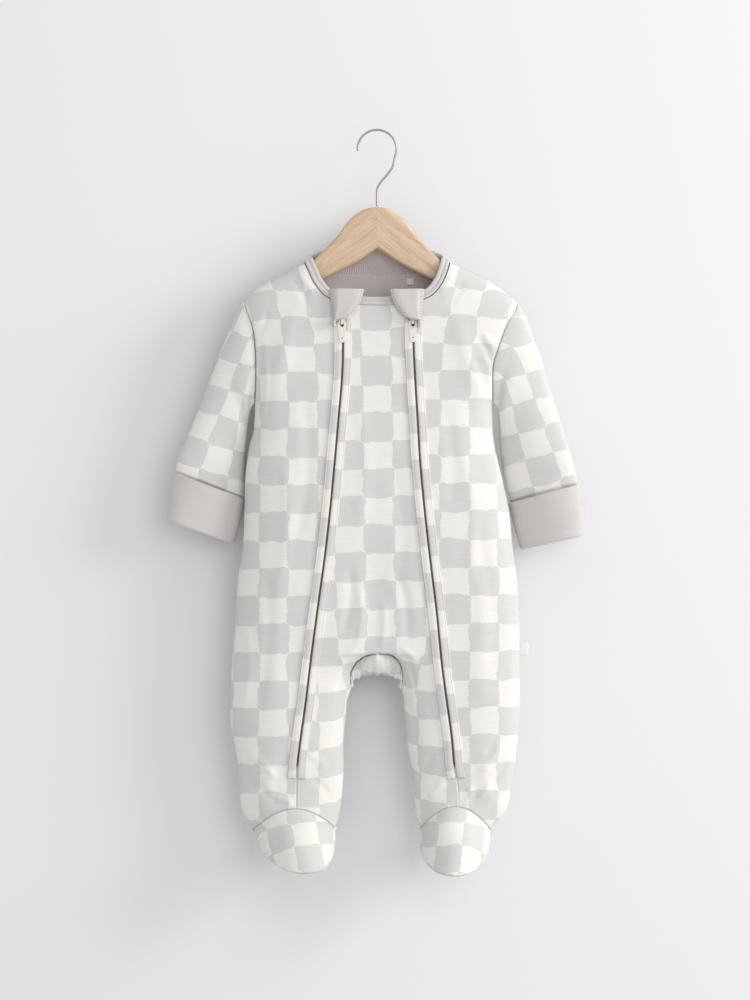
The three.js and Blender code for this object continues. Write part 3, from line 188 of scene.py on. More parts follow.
# Creases, listed one by one: the two ends of each, its half width and its height (a trough when
# negative). They sit where the picture shows them, and likewise on the hidden sides.
creases = {
    "front": [
        # under the left armhole, a long soft fold beside the seam
        (-106, 196, -109, 252, 3.2, -1.5), (-103, 205, -105, 262, 3.4, 1.2),
        (-99, 166, -108, 186, 3.4, -0.9), (-108, 262, -109, 300, 3.0, -0.8),
        # the two short creases by the right armhole
        (92, 190, 105, 211, 2.6, -1.6), (97, 186, 107, 200, 2.2, 1.3),
        (96, 205, 104, 222, 2.4, 1.0), (88, 206, 99, 236, 3.6, -0.9),
        # beside the neck
        (-70, 131, -58, 148, 3.0, 0.8), (-76, 136, -63, 158, 3.6, -0.7),
        (68, 131, 58, 147, 3.0, 0.7), (78, 138, 64, 160, 4.0, -0.7),
        # long soft falls down the side panels
        (-84, 300, -90, 420, 6.5, 0.9), (-66, 240, -72, 372, 6.0, -0.8),
        (-100, 400, -108, 520, 6.0, -0.9), (78, 290, 84, 410, 6.0, 0.8),
        (94, 372, 104, 500, 6.5, -0.9), (62, 250, 66, 350, 6.0, -0.6),
        (-118, 452, -121, 520, 4.0, 0.8), (118, 440, 120, 512, 4.0, 0.8),
        # centre panel
        (-14, 250, -18, 360, 6.5, 0.6), (14, 300, 20, 420, 7.0, -0.6),
        (-24, 398, -30, 456, 4.2, -1.1), (-15, 416, -18, 470, 3.8, 0.9),
        (20, 404, 27, 462, 4.6, -1.0), (6, 430, 4, 470, 4.0, 0.7),
        # fanning from the arch seam
        (-25, 480, -37, 508, 2.6, -1.3), (-20, 470, -34, 484, 2.6, 1.0),
        (-27, 492, -35, 530, 2.6, 1.0), (25, 476, 34, 506, 2.6, -1.4),
        (22, 470, 36, 482, 2.4, 1.0), (27, 488, 33, 524, 2.6, 1.1),
        (29, 520, 36, 566, 3.4, -0.9), (-33, 525, -40, 560, 3.4, -0.8),
        # legs above the feet
        (-116, 566, -92, 588, 4.0, 1.0), (-119, 590, -98, 604, 3.4, -1.1),
        (-92, 606, -76, 612, 3.0, 0.8), (-58, 588, -42, 606, 3.4, -0.8),
        (-62, 566, -46, 578, 3.6, 0.9), (-120, 610, -104, 622, 2.4, -1.0),
        (112, 556, 96, 582, 3.6, 1.2), (118, 572, 103, 594, 3.2, -1.3),
        (104, 590, 92, 606, 3.0, 1.0), (116, 598, 100, 616, 2.6, -1.1),
        (86, 596, 80, 612, 3.2, 0.8), (50, 566, 38, 590, 3.4, -0.9),
        (60, 590, 46, 604, 3.2, 0.9), (46, 604, 40, 622, 2.4, -0.8),
    ],
    "back": [
        (-98, 196, -106, 262, 4.0, -1.3), (96, 194, 102, 256, 4.0, -1.3),
        (-88, 230, -60, 300, 5.0, 1.1), (86, 236, 52, 312, 5.0, 1.0),
        (-40, 140, -30, 200, 6.0, -0.8), (38, 142, 26, 206, 6.0, -0.7),
        (-84, 300, -96, 430, 7.0, 0.9), (80, 310, 96, 440, 7.0, 0.9),
        (-30, 330, -44, 450, 7.0, -1.0), (24, 320, 36, 460, 7.0, -0.9),
        (-22, 470, -42, 512, 3.0, -1.4), (22, 470, 40, 510, 3.0, -1.4),
        (-12, 440, -26, 470, 3.6, 1.0), (10, 436, 25, 472, 3.6, 1.1),
        (-56, 440, -34, 466, 4.2, 0.9), (58, 446, 34, 468, 4.2, 0.9),
        (-112, 590, -90, 606, 3.4, -1.1), (104, 586, 84, 604, 3.4, -1.2),
        (-64, 590, -48, 606, 3.2, 1.0), (50, 588, 66, 606, 3.2, 0.9),
        (-100, 610, -70, 622, 3.0, 1.1), (54, 612, 86, 624, 3.0, 1.1),
    ],
}


def curveThrough(keys, values, at):
    # value of a smooth curve through a table's rows, each row's slope that between its neighbours
    keys, values = np.asarray(keys, float), np.asarray(values, float)
    if keys[-1] < keys[0]:
        keys, values = keys[::-1], values[::-1]
    at = np.clip(at, keys[0], keys[-1])
    i = np.clip(np.searchsorted(keys, at, side="right") - 1, 0, len(keys) - 2)
    n = np.arange(len(keys))
    low, high = np.maximum(n - 1, 0), np.minimum(n + 1, len(keys) - 1)
    slope = (values[high] - values[low]) / (keys[high] - keys[low])
    span = keys[i + 1] - keys[i]
    t = (at - keys[i]) / span
    h = t * t * (3 - 2 * t)
    bend = t * (1 - t) ** 2 * slope[i] - t * t * (1 - t) * slope[i + 1]
    return values[i] + (values[i + 1] - values[i]) * h + span * bend


def byRow(values, at):
    return curveThrough(np.arange(len(values)), values, at)


def mix(a, b, t):
    return a + (b - a) * t


def rounding(distance, full, power):
    # rise of a rounded section from its edge, 0 at the edge and 1 from "full" on
    rest = 1 - np.clip(distance / full, 0, 1)
    return (1 - rest ** power) ** (1 / power)


def shoulderDrop(x):
    return curveThrough(shoulder["x"], shoulder["drop"], x)


def bodyDepth(x, drop, side):
    full = curveThrough(outline["drop"], outline[side], drop)
    opened = 0
    if side == "back":
        inNeck = np.maximum(0, 1 - (np.abs(x) / body["neckHalf"]) ** body["neckPower"])
        opened = body["neckOpen"] * np.sqrt(inNeck)
    fall = drop - shoulderDrop(x) + opened
    return full * rounding(fall, body["shoulderFall"], body["shoulderPower"])


def foldHeight(x, drop, side):
    # each broad fold is a bell across and along a leaning line
    height = 0
    for cx, cd, long, wide, high, lean in broadFolds[side]:
        a = math.radians(lean)
        across = ((x - cx) * math.cos(a) + (drop - cd) * math.sin(a)) / wide
        length = ((drop - cd) * math.cos(a) - (x - cx) * math.sin(a)) / long
        height = height + high * np.exp(-across ** 2 - length ** 2)
    return height


def creaseHeight(x, drop, side):
    # each crease is a bell across its line, bowed a little, and dies away past its ends
    height = 0 * x
    for x0, d0, x1, d1, wide, high in creases[side]:
        length = math.hypot(x1 - x0, d1 - d0)
        ax, ad = (x1 - x0) / length, (d1 - d0) / length
        s = ((x - x0) * ax + (drop - d0) * ad) / length
        across = (x - x0) * ad - (drop - d0) * ax
        across = across - 0.05 * length * np.sin(np.clip(s, 0, 1) * math.pi)
        ends = np.exp(-np.maximum(0, np.abs(s - 0.5) - 0.32) ** 2 / 0.03)
        height = height + high * ends * np.exp(-(across / wide) ** 2)
    return height * body["creaseShare"]


def sideShare(c):
    return 1 - np.cos(math.pi / 2 * np.clip(c / zipColumn, 0, 1))


def innerShare(c):
    return np.sin(math.pi / 2 * np.clip((c - zipColumn) / (lastColumn - zipColumn), 0, 1))


def smoothStep(t, low, high):
    t = np.clip((t - low) / (high - low), 0, 1)
    return t * t * (3 - 2 * t)


def rowEnds(hand, k):
    # where each row begins and ends, and how deep its edges are
    share = (1 - np.cos(math.pi * np.clip(k, 0, 10) / 10)) / 2
    upper = k <= rowsAt["underarm"]
    dropUpper = mix(body["sleeveTip"][hand], body["armholeBottom"], share)
    torso = np.clip((k - rowsAt["underarm"]) / (rowsAt["arch"] - rowsAt["underarm"]), 0, 1)
    inArch = np.clip(k - rowsAt["arch"], 0, 5)
    leg = np.clip((k - rowsAt["leg"]) / (rowsAt["ankle"] - rowsAt["leg"]), 0, 1)
    lowDrop = mix(body["armholeBottom"], body["archTop"], torso)
    lowDrop = lowDrop + (body["legTop"] - body["archTop"]) * inArch / 5
    footDrop = foot["toe"][hand]["drop"]
    outerDrop = np.where(upper, dropUpper, lowDrop + (footDrop[0] - body["legTop"]) * leg)
    outerX = np.where(upper, curveThrough(armhole["drop"], armhole[hand], outerDrop),
                      curveThrough(outline["drop"], outline[hand], outerDrop))
    outerDepth = np.where(upper, body["armholeDepth"] * np.sin(math.pi * np.clip(k, 0, 10) / 10), 0)
    innerDrop = np.where(k <= rowsAt["arch"], outerDrop, byRow(arch[hand + "Drop"], inArch))
    innerDrop = np.where(k > rowsAt["leg"], mix(body["legTop"], footDrop[-1], leg), innerDrop)
    innerX = np.where(k <= rowsAt["arch"], 0, byRow(arch[hand], inArch))
    legX = curveThrough(inseam["drop"], inseam[hand], innerDrop)
    innerX = np.where(k > rowsAt["leg"], legX, innerX)
    return {
        "share": share, "outerX": outerX, "outerDrop": outerDrop, "outerDepth": outerDepth,
        "innerX": innerX, "innerDrop": innerDrop, "inArch": inArch,
        "closing": np.clip(k - rowsAt["arch"], 0, 1),
        "rise": foot["rise"][hand] * smoothStep(leg, 0.35, 1),
    }


def placePoints(ends, x, drop, share, side, k):
    # depth falls from the body's full depth to the row's own depths at both of its edges
    full = bodyDepth(x, drop, side)
    fromSide = rounding(share * 2, 1, body["sidePower"])
    fromInner = rounding((1 - share) * 2, 1, body["sidePower"])
    innerDepth = byRow(arch[side], ends["inArch"])
    closing = ends["closing"]
    inward = (full - innerDepth) * (1 - fromInner) * closing
    edge = mix(1, fromInner, closing) * fromSide
    depth = ends["outerDepth"] + (full - ends["outerDepth"]) * fromSide - inward
    soft = foldHeight(x, drop, side) + creaseHeight(x, drop, side)
    depth = depth + soft * edge * np.clip(k / 1.5, 0, 1)
    return np.stack([x, -depth if side == "front" else depth, -drop], axis=-1)


def frontPoints(hand, k, c):
    # rows of the front: a share of the way from side seam to zip, then on to the middle
    ends = rowEnds(hand, k)
    neckRow = rowsAt["neck"]
    below = np.clip((k - neckRow) / (10 - neckRow), 0, 1)
    zipDrop = np.where(k <= neckRow, byRow(neckEdge["drop"], np.clip(k, 0, 5)),
                       mix(neckEdge["drop"][-1], body["armholeBottom"], below))
    zipX = np.where(k <= neckRow, byRow(neckEdge[hand], np.clip(k, 0, 5)),
                    curveThrough(zipLine["drop"], zipLine[hand], zipDrop))
    part = mix(np.clip(c / zipColumn, 0, 1), sideShare(c), ends["share"])
    tip = body["sleeveTip"][hand]
    topX = mix(armhole[hand][0], neckEdge[hand][0], part)
    lift = mix(tip, neckEdge["drop"][0], part) - shoulderDrop(topX)
    sideX = mix(ends["outerX"], zipX, part)
    sideDrop = mix(ends["outerDrop"], zipDrop, part) - lift * (1 - np.clip(k, 0, 10) / 10) ** 2
    midX = mix(zipX, 0, innerShare(c))
    midDrop = zipDrop + body["centreDip"] * (1 - below) * (1 - (midX / zipX) ** 2)
    upperX = np.where(c <= zipColumn, sideX, midX)
    upperDrop = np.where(c <= zipColumn, sideDrop, midDrop)

    def dropAt(share):
        hump = ends["rise"] * np.sin(math.pi * np.clip(share, 0, 1)) ** 0.8
        return mix(ends["outerDrop"], ends["innerDrop"], share ** 2) - hump

    width = ends["innerX"] - ends["outerX"]
    zipShare = np.full_like(k, 0.6)
    for turn in range(12):
        at = curveThrough(zipLine["drop"], zipLine[hand], dropAt(zipShare))
        zipShare = (at - ends["outerX"]) / width
    share = np.where(c <= zipColumn, zipShare * sideShare(c), mix(zipShare, 1, innerShare(c)))
    upper = k <= rowsAt["underarm"]
    x = np.where(upper, upperX, ends["outerX"] + width * share)
    drop = np.where(upper, upperDrop, dropAt(share))
    share = np.where(upper, (x - ends["outerX"]) / -ends["outerX"], share)
    return placePoints(ends, x, drop, share, "front", k)


def backPoints(hand, k, c):
    ends = rowEnds(hand, k)
    half = body["backShare"]
    lowShare = np.where(c <= zipColumn, half * sideShare(c), mix(half, 1, innerShare(c)))
    neckX = neckEdge[hand][0]
    topX = np.where(c <= zipColumn, mix(armhole[hand][0], neckX, np.clip(c / zipColumn, 0, 1)),
                    neckX * byRow(body["backNeck"], np.clip(c - zipColumn, 0, 4)))
    neckDrop = neckEdge["drop"][0] - body["backNeckRise"] * (1 - (topX / neckX) ** 2)
    topDrop = np.where(c <= zipColumn, shoulderDrop(topX), neckDrop)
    shift = (ends["outerX"] - armhole[hand][0]) * (1 - c / lastColumn)
    upperX = mix(topX + shift, mix(ends["outerX"], 0, lowShare), ends["share"])
    upperDrop = mix(topDrop, body["armholeBottom"], ends["share"])
    upper = k <= rowsAt["underarm"]
    x = np.where(upper, upperX, mix(ends["outerX"], ends["innerX"], lowShare))
    drop = np.where(upper, upperDrop, mix(ends["outerDrop"], ends["innerDrop"], lowShare ** 2))
    share = np.where(upper, 1 - x / ends["outerX"], lowShare)
    return placePoints(ends, x, drop, share, "back", k)


def gridFaces(rows, columns, start=0, flip=False):
    i, j = np.meshgrid(np.arange(rows - 1), np.arange(columns - 1), indexing="ij")
    a = start + i * columns + j
    quads = np.stack([a, a + 1, a + columns + 1, a + columns], axis=-1).reshape(-1, 4)
    return quads[:, ::-1] if flip else quads


def gridNormals(points):
    down = np.gradient(points, axis=0)
    across = np.gradient(points, axis=1)
    n = np.cross(across, down)
    return n / np.maximum(np.linalg.norm(n, axis=-1, keepdims=True), 1e-9)


def makeMesh(name, points, faces, uv=None, smooth=True):
    # points are in millimetres, faces are quads or triangles, uv one pair for each point
    mesh = bpy.data.meshes.new(name)
    mesh.from_pydata((np.asarray(points, float) * mm).tolist(), [], np.asarray(faces).tolist())
    if uv is not None:
        layer = mesh.uv_layers.new(name="cloth")
        corner = np.zeros(len(mesh.loops), np.int32)
        mesh.loops.foreach_get("vertex_index", corner)
        layer.data.foreach_set("uv", np.asarray(uv, np.float32)[corner].ravel())
    mesh.polygons.foreach_set("use_smooth", np.full(len(mesh.polygons), smooth))
    mesh.update()
    piece = bpy.data.objects.new(name, mesh)
    scene.collection.objects.link(piece)
    return piece


def shellPiece(name, grids, outward):
    # one sheet from grids of points with their cloth coordinates, each turned to face outwards
    points, uvs, faces, start = [], [], [], 0
    for grid, uv in grids:
        rows, columns = grid.shape[:2]
        # away from each row's own middle where no direction is given
        way = grid - grid.mean(axis=1, keepdims=True) if outward is None else np.array(outward)
        facing = (gridNormals(grid) * way).sum()
        faces.append(gridFaces(rows, columns, start, facing < 0))
        points.append(grid.reshape(-1, 3))
        uvs.append(uv.reshape(-1, 2))
        start += rows * columns
    return makeMesh(name, np.concatenate(points), np.concatenate(faces), np.concatenate(uvs))


def weld(piece, distance=0.02, closed=False):
    # joins points that meet, and turns the faces of a closed piece outwards
    bm = bmesh.new()
    bm.from_mesh(piece.data)
    bmesh.ops.remove_doubles(bm, verts=bm.verts, dist=distance * mm)
    if closed:
        bmesh.ops.recalc_face_normals(bm, faces=bm.faces)
    bm.to_mesh(piece.data)
    bm.free()
    piece.data.polygons.foreach_set("use_smooth", np.full(len(piece.data.polygons), True))
    return piece


def thicken(piece, thick):
    solid = piece.modifiers.new("thickness", "SOLIDIFY")
    solid.thickness = thick * mm
    solid.offset = -1
    solid.use_rim = True
    return piece


def runLength(points, axis, plane=None):
    # length run along a grid's lines, in the given plane or in space
    step = np.diff(points if plane is None else points[..., plane], axis=axis)
    run = np.cumsum(np.linalg.norm(step, axis=-1), axis=axis)
    pad = [(0, 0), (0, 0)]
    pad[axis] = (1, 0)
    return np.pad(run, pad)


def gridOf(make, hand, rows, columns):
    return make(hand, *np.meshgrid(rows, columns, indexing="ij"))


def columnAt(make, hand, k, x):
    # the column at which a row reaches x, found by halving the range
    low, high = np.zeros_like(x), np.full_like(x, lastColumn)
    side = -1 if hand == "left" else 1
    for turn in range(20):
        middle = (low + high) / 2
        short = make(hand, k, middle)[..., 0] * side > x * side
        low, high = np.where(short, middle, low), np.where(short, high, middle)
    return (low + high) / 2


def besideZip(hand, rows, offsets):
    # places on the front at offsets from the zip's line
    k, offset = np.broadcast_arrays(np.asarray(rows)[:, None], np.atleast_2d(offsets))
    line = frontPoints(hand, k, np.full_like(k, zipColumn))[..., 0]
    return frontPoints(hand, k, columnAt(frontPoints, hand, k, line + offset))


def rowAtDrop(hand, drops):
    # row numbers at which the zip's line reaches these drops
    k = np.linspace(5, 30, 400)
    z = frontPoints(hand, k, np.full_like(k, zipColumn))[..., 2]
    return np.interp(drops, -z, k)


def outwardNormals(points, outward):
    n = gridNormals(points)
    return n if float(n.reshape(-1, 3).sum(axis=0) @ np.array(outward)) > 0 else -n


def sewnEdges(points, outward, edges, dip=None, width=None):
    # the cloth dips in along each sewn edge, most on the seam itself
    dip = body["seamDip"] if dip is None else dip
    width = body["seamWidth"] if width is None else width
    normals = outwardNormals(points, outward)
    down, across = runLength(points, 0), runLength(points, 1)
    far = {"top": down, "bottom": down[-1:] - down, "left": across, "right": across[:, -1:] - across}
    sunk = sum(np.exp(-(far[edge] / width) ** 2) for edge in edges)
    return points - normals * (dip * np.clip(sunk, 0, 1))[..., None]


check = {  # the printed check: size of a cell, then where one grey cell's middle lies on each piece
    "wide": 27.0,
    "tall": 25.4,
    "frontLeft": (-67.3, 284.0, 0.0),
    "centre": (0.4, 269.5, -1.0),
    "frontRight": (70.5, 282.5, 0.0),
    "back": (3.0, 262.0, 0.0),
    "sleeveLeft": (-136.5, 275.0, 17.0),
    "sleeveRight": (130.5, 261.5, -16.0),
    "footLeft": (-69.2, 621.0, -11.6),
    "footRight": (68.3, 620.0, 6.5),
}


def onPrint(run, fall, place, wide=None, tall=None):
    # cloth coordinates counted in cells, turned about one grey cell's middle
    x, drop, turn = place
    a = math.radians(turn)
    dx, dz = run - x, fall - drop
    wide, tall = wide or check["wide"], tall or check["tall"]
    return np.stack([(dx * math.cos(a) + dz * math.sin(a)) / wide,
                     (dz * math.cos(a) - dx * math.sin(a)) / tall], axis=-1)


def clothMap(points, place, anchorColumn, anchorRow, wide=None, tall=None):
    # across: length run over the surface from one column; down: length run from one row
    anchorColumn %= points.shape[1]
    across = runLength(points, 1, slice(0, 2))
    across = across - across[:, anchorColumn:anchorColumn + 1]
    rising = points[:, -1:, 0].mean() > points[:, :1, 0].mean()
    run = points[:, anchorColumn:anchorColumn + 1, 0] + (across if rising else -across)
    down = runLength(points, 0, slice(1, 3))
    fall = down - down[anchorRow:anchorRow + 1] - points[anchorRow:anchorRow + 1, :, 2]
    return onPrint(run, fall, place, wide, tall)


def rowList(first, last, step=1.0):
    # row numbers that lie evenly down the cloth, about 1.8 mm apart
    upper = 10 / math.pi * np.arccos(1 - 2 * np.linspace(0, 1, int(52 / step)))
    parts = [upper, np.linspace(10, 18, int(126 / step)), np.linspace(18, 23, int(22 / step)),
             np.linspace(23, 30, int(72 / step))]
    k = np.unique(np.round(np.concatenate(parts), 6))
    k = k[(k >= first) & (k <= last)]
    return np.unique(np.concatenate([[first], k, [last]]))


def openAtZip(points, edge, drops, half=0.95):
    # draws a panel's edge back from the zip, down to the zip's end
    beside = -2 if edge == -1 else 1
    away = points[:, beside] - points[:, edge]
    away /= np.maximum(np.linalg.norm(away, axis=-1, keepdims=True), 1e-9)
    gap = half * smoothStep(body["zipEnd"] + 2 - drops, 0, 3)
    points[:, edge] += away * gap[:, None]
    return points


out = {"front": (0, -1, 0), "back": (0, 1, 0)}
pieces = {}

# Side fronts
for hand in ("left", "right"):
    k = rowList(0, 30)
    grid = gridOf(frontPoints, hand, k, np.linspace(0, zipColumn, 56))
    uv = clothMap(grid, check["frontLeft" if hand == "left" else "frontRight"], -1,
                  int(np.searchsorted(k, 11)))
    # over the shoulders the print's columns lean out to the sleeve
    leaning = 16.4 * (np.clip(232 + grid[..., 2], 0, None) / 100) ** 1.6
    uv[..., 0] += (1 if hand == "left" else -1) * leaning / check["wide"]
    grid = sewnEdges(grid, out["front"], ("top",))
    grid = sewnEdges(grid, out["front"], ("left",), 0.55, 1.7)
    grid = sewnEdges(grid, out["front"], ("bottom",), 0.2, 1.3)
    grid = openAtZip(grid, -1, -grid[:, -1, 2])
    pieces["front_" + hand] = thicken(
        shellPiece("sideFront" + hand.title(), [(grid, uv)], out["front"]), body["thick"])
print("side fronts made")

# Centre front: the torso in one grid, then a grid for each leg
torsoRows = rowList(5, 18)
legRows = rowList(18, 30)
columns = np.linspace(zipColumn, lastColumn, 34)
leftTorso = gridOf(frontPoints, "left", torsoRows, columns)
rightTorso = gridOf(frontPoints, "right", torsoRows, columns[:-1])[:, ::-1]
torso = np.concatenate([leftTorso, rightTorso], axis=1)
middle = len(columns) - 1
anchorRow = int(np.searchsorted(torsoRows, 12))
torsoUv = clothMap(torso, check["centre"], middle, anchorRow)
torso = sewnEdges(torso, out["front"], ("top",))
torso = openAtZip(torso, 0, -torso[:, 0, 2])
torso = openAtZip(torso, -1, -torso[:, -1, 2])
grids = [(torso, torsoUv)]
for hand in ("left", "right"):
    legGrid = gridOf(frontPoints, hand, legRows, columns)
    across = runLength(legGrid, 1, slice(0, 2))
    across = across - across[:, -1:]
    reach = -1 if hand == "left" else 1
    run = legGrid[:, -1:, 0] - reach * across
    down = runLength(legGrid, 0, slice(1, 3))
    base = torsoUv[-1, :len(columns)] if hand == "left" else torsoUv[-1, middle:][::-1]
    fall = -legGrid[:1, :, 2] + down
    uv = onPrint(run, fall, check["centre"])
    uv = uv + (base - uv[0]) * np.exp(-down / 40)[..., None]
    legGrid = sewnEdges(legGrid, out["front"], ("bottom",), 0.2, 1.3)
    fade = smoothStep(legRows, 18, 19)[:, None]
    dipped = sewnEdges(legGrid, out["front"], ("right",))
    legGrid = mix(legGrid, dipped, fade[..., None])
    legGrid = openAtZip(legGrid, 0, -legGrid[:, 0, 2])
    grids.append((legGrid, uv))
pieces["front_centre"] = shellPiece("centreFront", grids, out["front"])
weld(pieces["front_centre"])
thicken(pieces["front_centre"], body["thick"])
print("centre front made")

# Back, with both legs and the heels
grids = []
backRows = rowList(0, 18, 1.25)
backLegRows = rowList(18, 30, 1.25)
columns = np.linspace(0, lastColumn, 74)
leftBack = gridOf(backPoints, "left", backRows, columns)
rightBack = gridOf(backPoints, "right", backRows, columns[:-1])[:, ::-1]
upperBack = np.concatenate([leftBack, rightBack], axis=1)
backMiddle = len(columns) - 1
upperUv = clothMap(upperBack, check["back"], backMiddle, int(np.searchsorted(backRows, 11)))
grids.append((sewnEdges(upperBack, out["back"], ("top", "left", "right")), upperUv))
backward = np.array([0, 1, -0.4]) / math.hypot(1, 0.4)
for hand in ("left", "right"):
    legGrid = gridOf(backPoints, hand, backLegRows, columns)
    heelShare = columns / lastColumn
    heel = np.stack([byRow(foot["heel"][hand][key], heelShare * 6) for key in ("x", "y", "drop")], -1)
    heel[:, 2] *= -1
    heel[[0, -1]] = legGrid[-1, [0, -1]]
    t = np.linspace(0, 1, 14)[1:, None, None]
    lift = foot["heelBulge"] * np.sin(math.pi * t) ** 0.9
    lift = lift * np.sin(math.pi * heelShare)[None, :, None] ** 0.6
    lune = mix(legGrid[-1:], heel[None], t) + lift * backward
    legGrid = np.concatenate([legGrid, lune])
    down = runLength(legGrid, 0, slice(1, 3))
    across = runLength(legGrid, 1, slice(0, 2))
    reach = -1 if hand == "left" else 1
    run = legGrid[:, -1:, 0] + reach * (across[:, -1:] - across)
    uv = onPrint(run, -legGrid[:1, :, 2] + down, check["back"])
    base = upperUv[-1, :len(columns)] if hand == "left" else upperUv[-1, backMiddle:][::-1]
    uv = uv + (base - uv[0]) * np.exp(-down / 40)[..., None]
    dipped = sewnEdges(legGrid, out["back"], ("left", "right", "bottom"))
    fade = smoothStep(np.arange(len(legGrid)), 0, 8)[:, None, None]
    sideOnly = sewnEdges(legGrid, out["back"], ("left",))
    grids.append((mix(sideOnly, dipped, fade), uv))
pieces["back"] = shellPiece("backPanel", grids, out["back"])
weld(pieces["back"])
thicken(pieces["back"], body["thick"])
print("back made")

# Sleeves: rings of a flattened tube, from the armhole seam to under the cuff
sleeveCreases = [  # hand, side, middle along the sleeve and round it, half sizes, height
    ("left", -1, 0.20, 2.6, 0.10, 0.9, 1.2), ("left", -1, 0.34, 2.0, 0.05, 1.0, -1.0),
    ("left", -1, 0.52, 2.4, 0.06, 0.7, -1.1), ("left", -1, 0.66, 1.7, 0.07, 0.9, 0.9),
    ("left", -1, 0.82, 2.2, 0.05, 0.8, -0.8), ("left", 1, 0.30, 2.2, 0.07, 1.0, -1.1),
    ("left", 1, 0.58, 1.8, 0.06, 0.9, -1.0), ("left", 1, 0.76, 2.3, 0.07, 0.8, 0.9),
    ("right", -1, 0.14, 2.4, 0.05, 0.7, -1.2), ("right", -1, 0.28, 2.1, 0.08, 1.0, 1.2),
    ("right", -1, 0.47, 2.5, 0.05, 0.7, -1.1), ("right", -1, 0.60, 2.0, 0.07, 1.0, 0.9),
    ("right", -1, 0.80, 1.6, 0.05, 0.7, -0.9), ("right", 1, 0.25, 2.0, 0.07, 1.0, -1.1),
    ("right", 1, 0.50, 2.3, 0.06, 0.8, 1.0), ("right", 1, 0.72, 1.8, 0.06, 0.9, -1.0),
]


def sleevePoints(hand, r, angle, side):
    table = sleeve[hand]
    value = {key: byRow(values, r) for key, values in table.items()}
    share = (1 - np.cos(angle)) / 2
    k = angle / math.pi * 10
    seamX = frontPoints(hand, k, 0 * k)[..., 0]
    straight = mix(table["outer"][0], table["inner"][0], share)
    bow = (seamX - straight) * (1 - r / 8) ** 2
    x = mix(value["outer"], value["inner"], share) + bow
    y = value["shift"] * share + side * value["depth"] * np.sin(angle)
    return np.stack([x, y, -mix(value["outerDrop"], value["innerDrop"], share)], axis=-1)


for hand in ("left", "right"):
    r = np.concatenate([np.linspace(0, 0.6, 14)[:-1], np.linspace(0.6, 8, 92)])
    angle = np.linspace(0, math.pi, 46)
    halves = []
    for side in (-1, 1):
        rr, aa = np.meshgrid(r, angle, indexing="ij")
        grid = sleevePoints(hand, rr, aa, side)
        normals = outwardNormals(grid, (0, side, 0))
        height = 0
        for owner, face, along, round_, longHalf, roundHalf, high in sleeveCreases:
            if owner != hand or face != side:
                continue
            bent = rr / 8 - along + 0.03 * (aa - round_)
            height = height + high * np.exp(-(bent / longHalf) ** 2 - ((aa - round_) / roundHalf) ** 2)
        soft = height * np.sin(aa) ** 0.7 * smoothStep(rr, 0.1, 0.8) * smoothStep(8 - rr, 0.4, 1.5)
        if side < 0:  # the cuff's free edge stands off the cloth
            soft = soft - 4.2 * np.exp(-((rr - 7.2) / 0.13) ** 2) * np.sin(aa) ** 0.5
        halves.append(grid + normals * soft[..., None])
    tube = np.concatenate([halves[0], halves[1][:, ::-1][:, 1:]], axis=1)
    if hand == "right":
        tube = tube[:, ::-1]
    # cloth coordinates: along the sleeve's own length and round it from the front's middle
    axisTurn = math.radians(check["sleeveLeft" if hand == "left" else "sleeveRight"][2])
    place = check["sleeveLeft" if hand == "left" else "sleeveRight"]
    around = runLength(tube, 1)
    anchor = 22 if hand == "left" else tube.shape[1] - 23
    around = around - around[:, anchor:anchor + 1]
    if tube[0, 3, 0] > tube[0, 30, 0]:
        around = -around
    ax, az = math.cos(axisTurn), math.sin(axisTurn)
    cx, cd = tube[:, anchor, 0] - place[0], -tube[:, anchor, 2] - place[1]
    shiftAcross = (cx * ax + cd * az)[:, None]
    alongSleeve = (-tube[..., 2] - place[1]) * ax - (tube[..., 0] - place[0]) * az
    uv = np.stack([(around + shiftAcross) / check["wide"], alongSleeve / check["tall"]], axis=-1)
    # the seam at the armhole dips in
    down = runLength(tube, 0)
    centre = tube.mean(axis=1, keepdims=True)
    inward = centre - tube
    inward /= np.linalg.norm(inward, axis=-1, keepdims=True)
    tube = tube + inward * (body["seamDip"] * np.exp(-(down / body["seamWidth"]) ** 2))[..., None]
    piece = weld(shellPiece("sleeve" + hand.title(), [(tube, uv)], None), 0.05)
    pieces["sleeve_" + hand] = thicken(piece, body["thick"])
print("sleeves made")

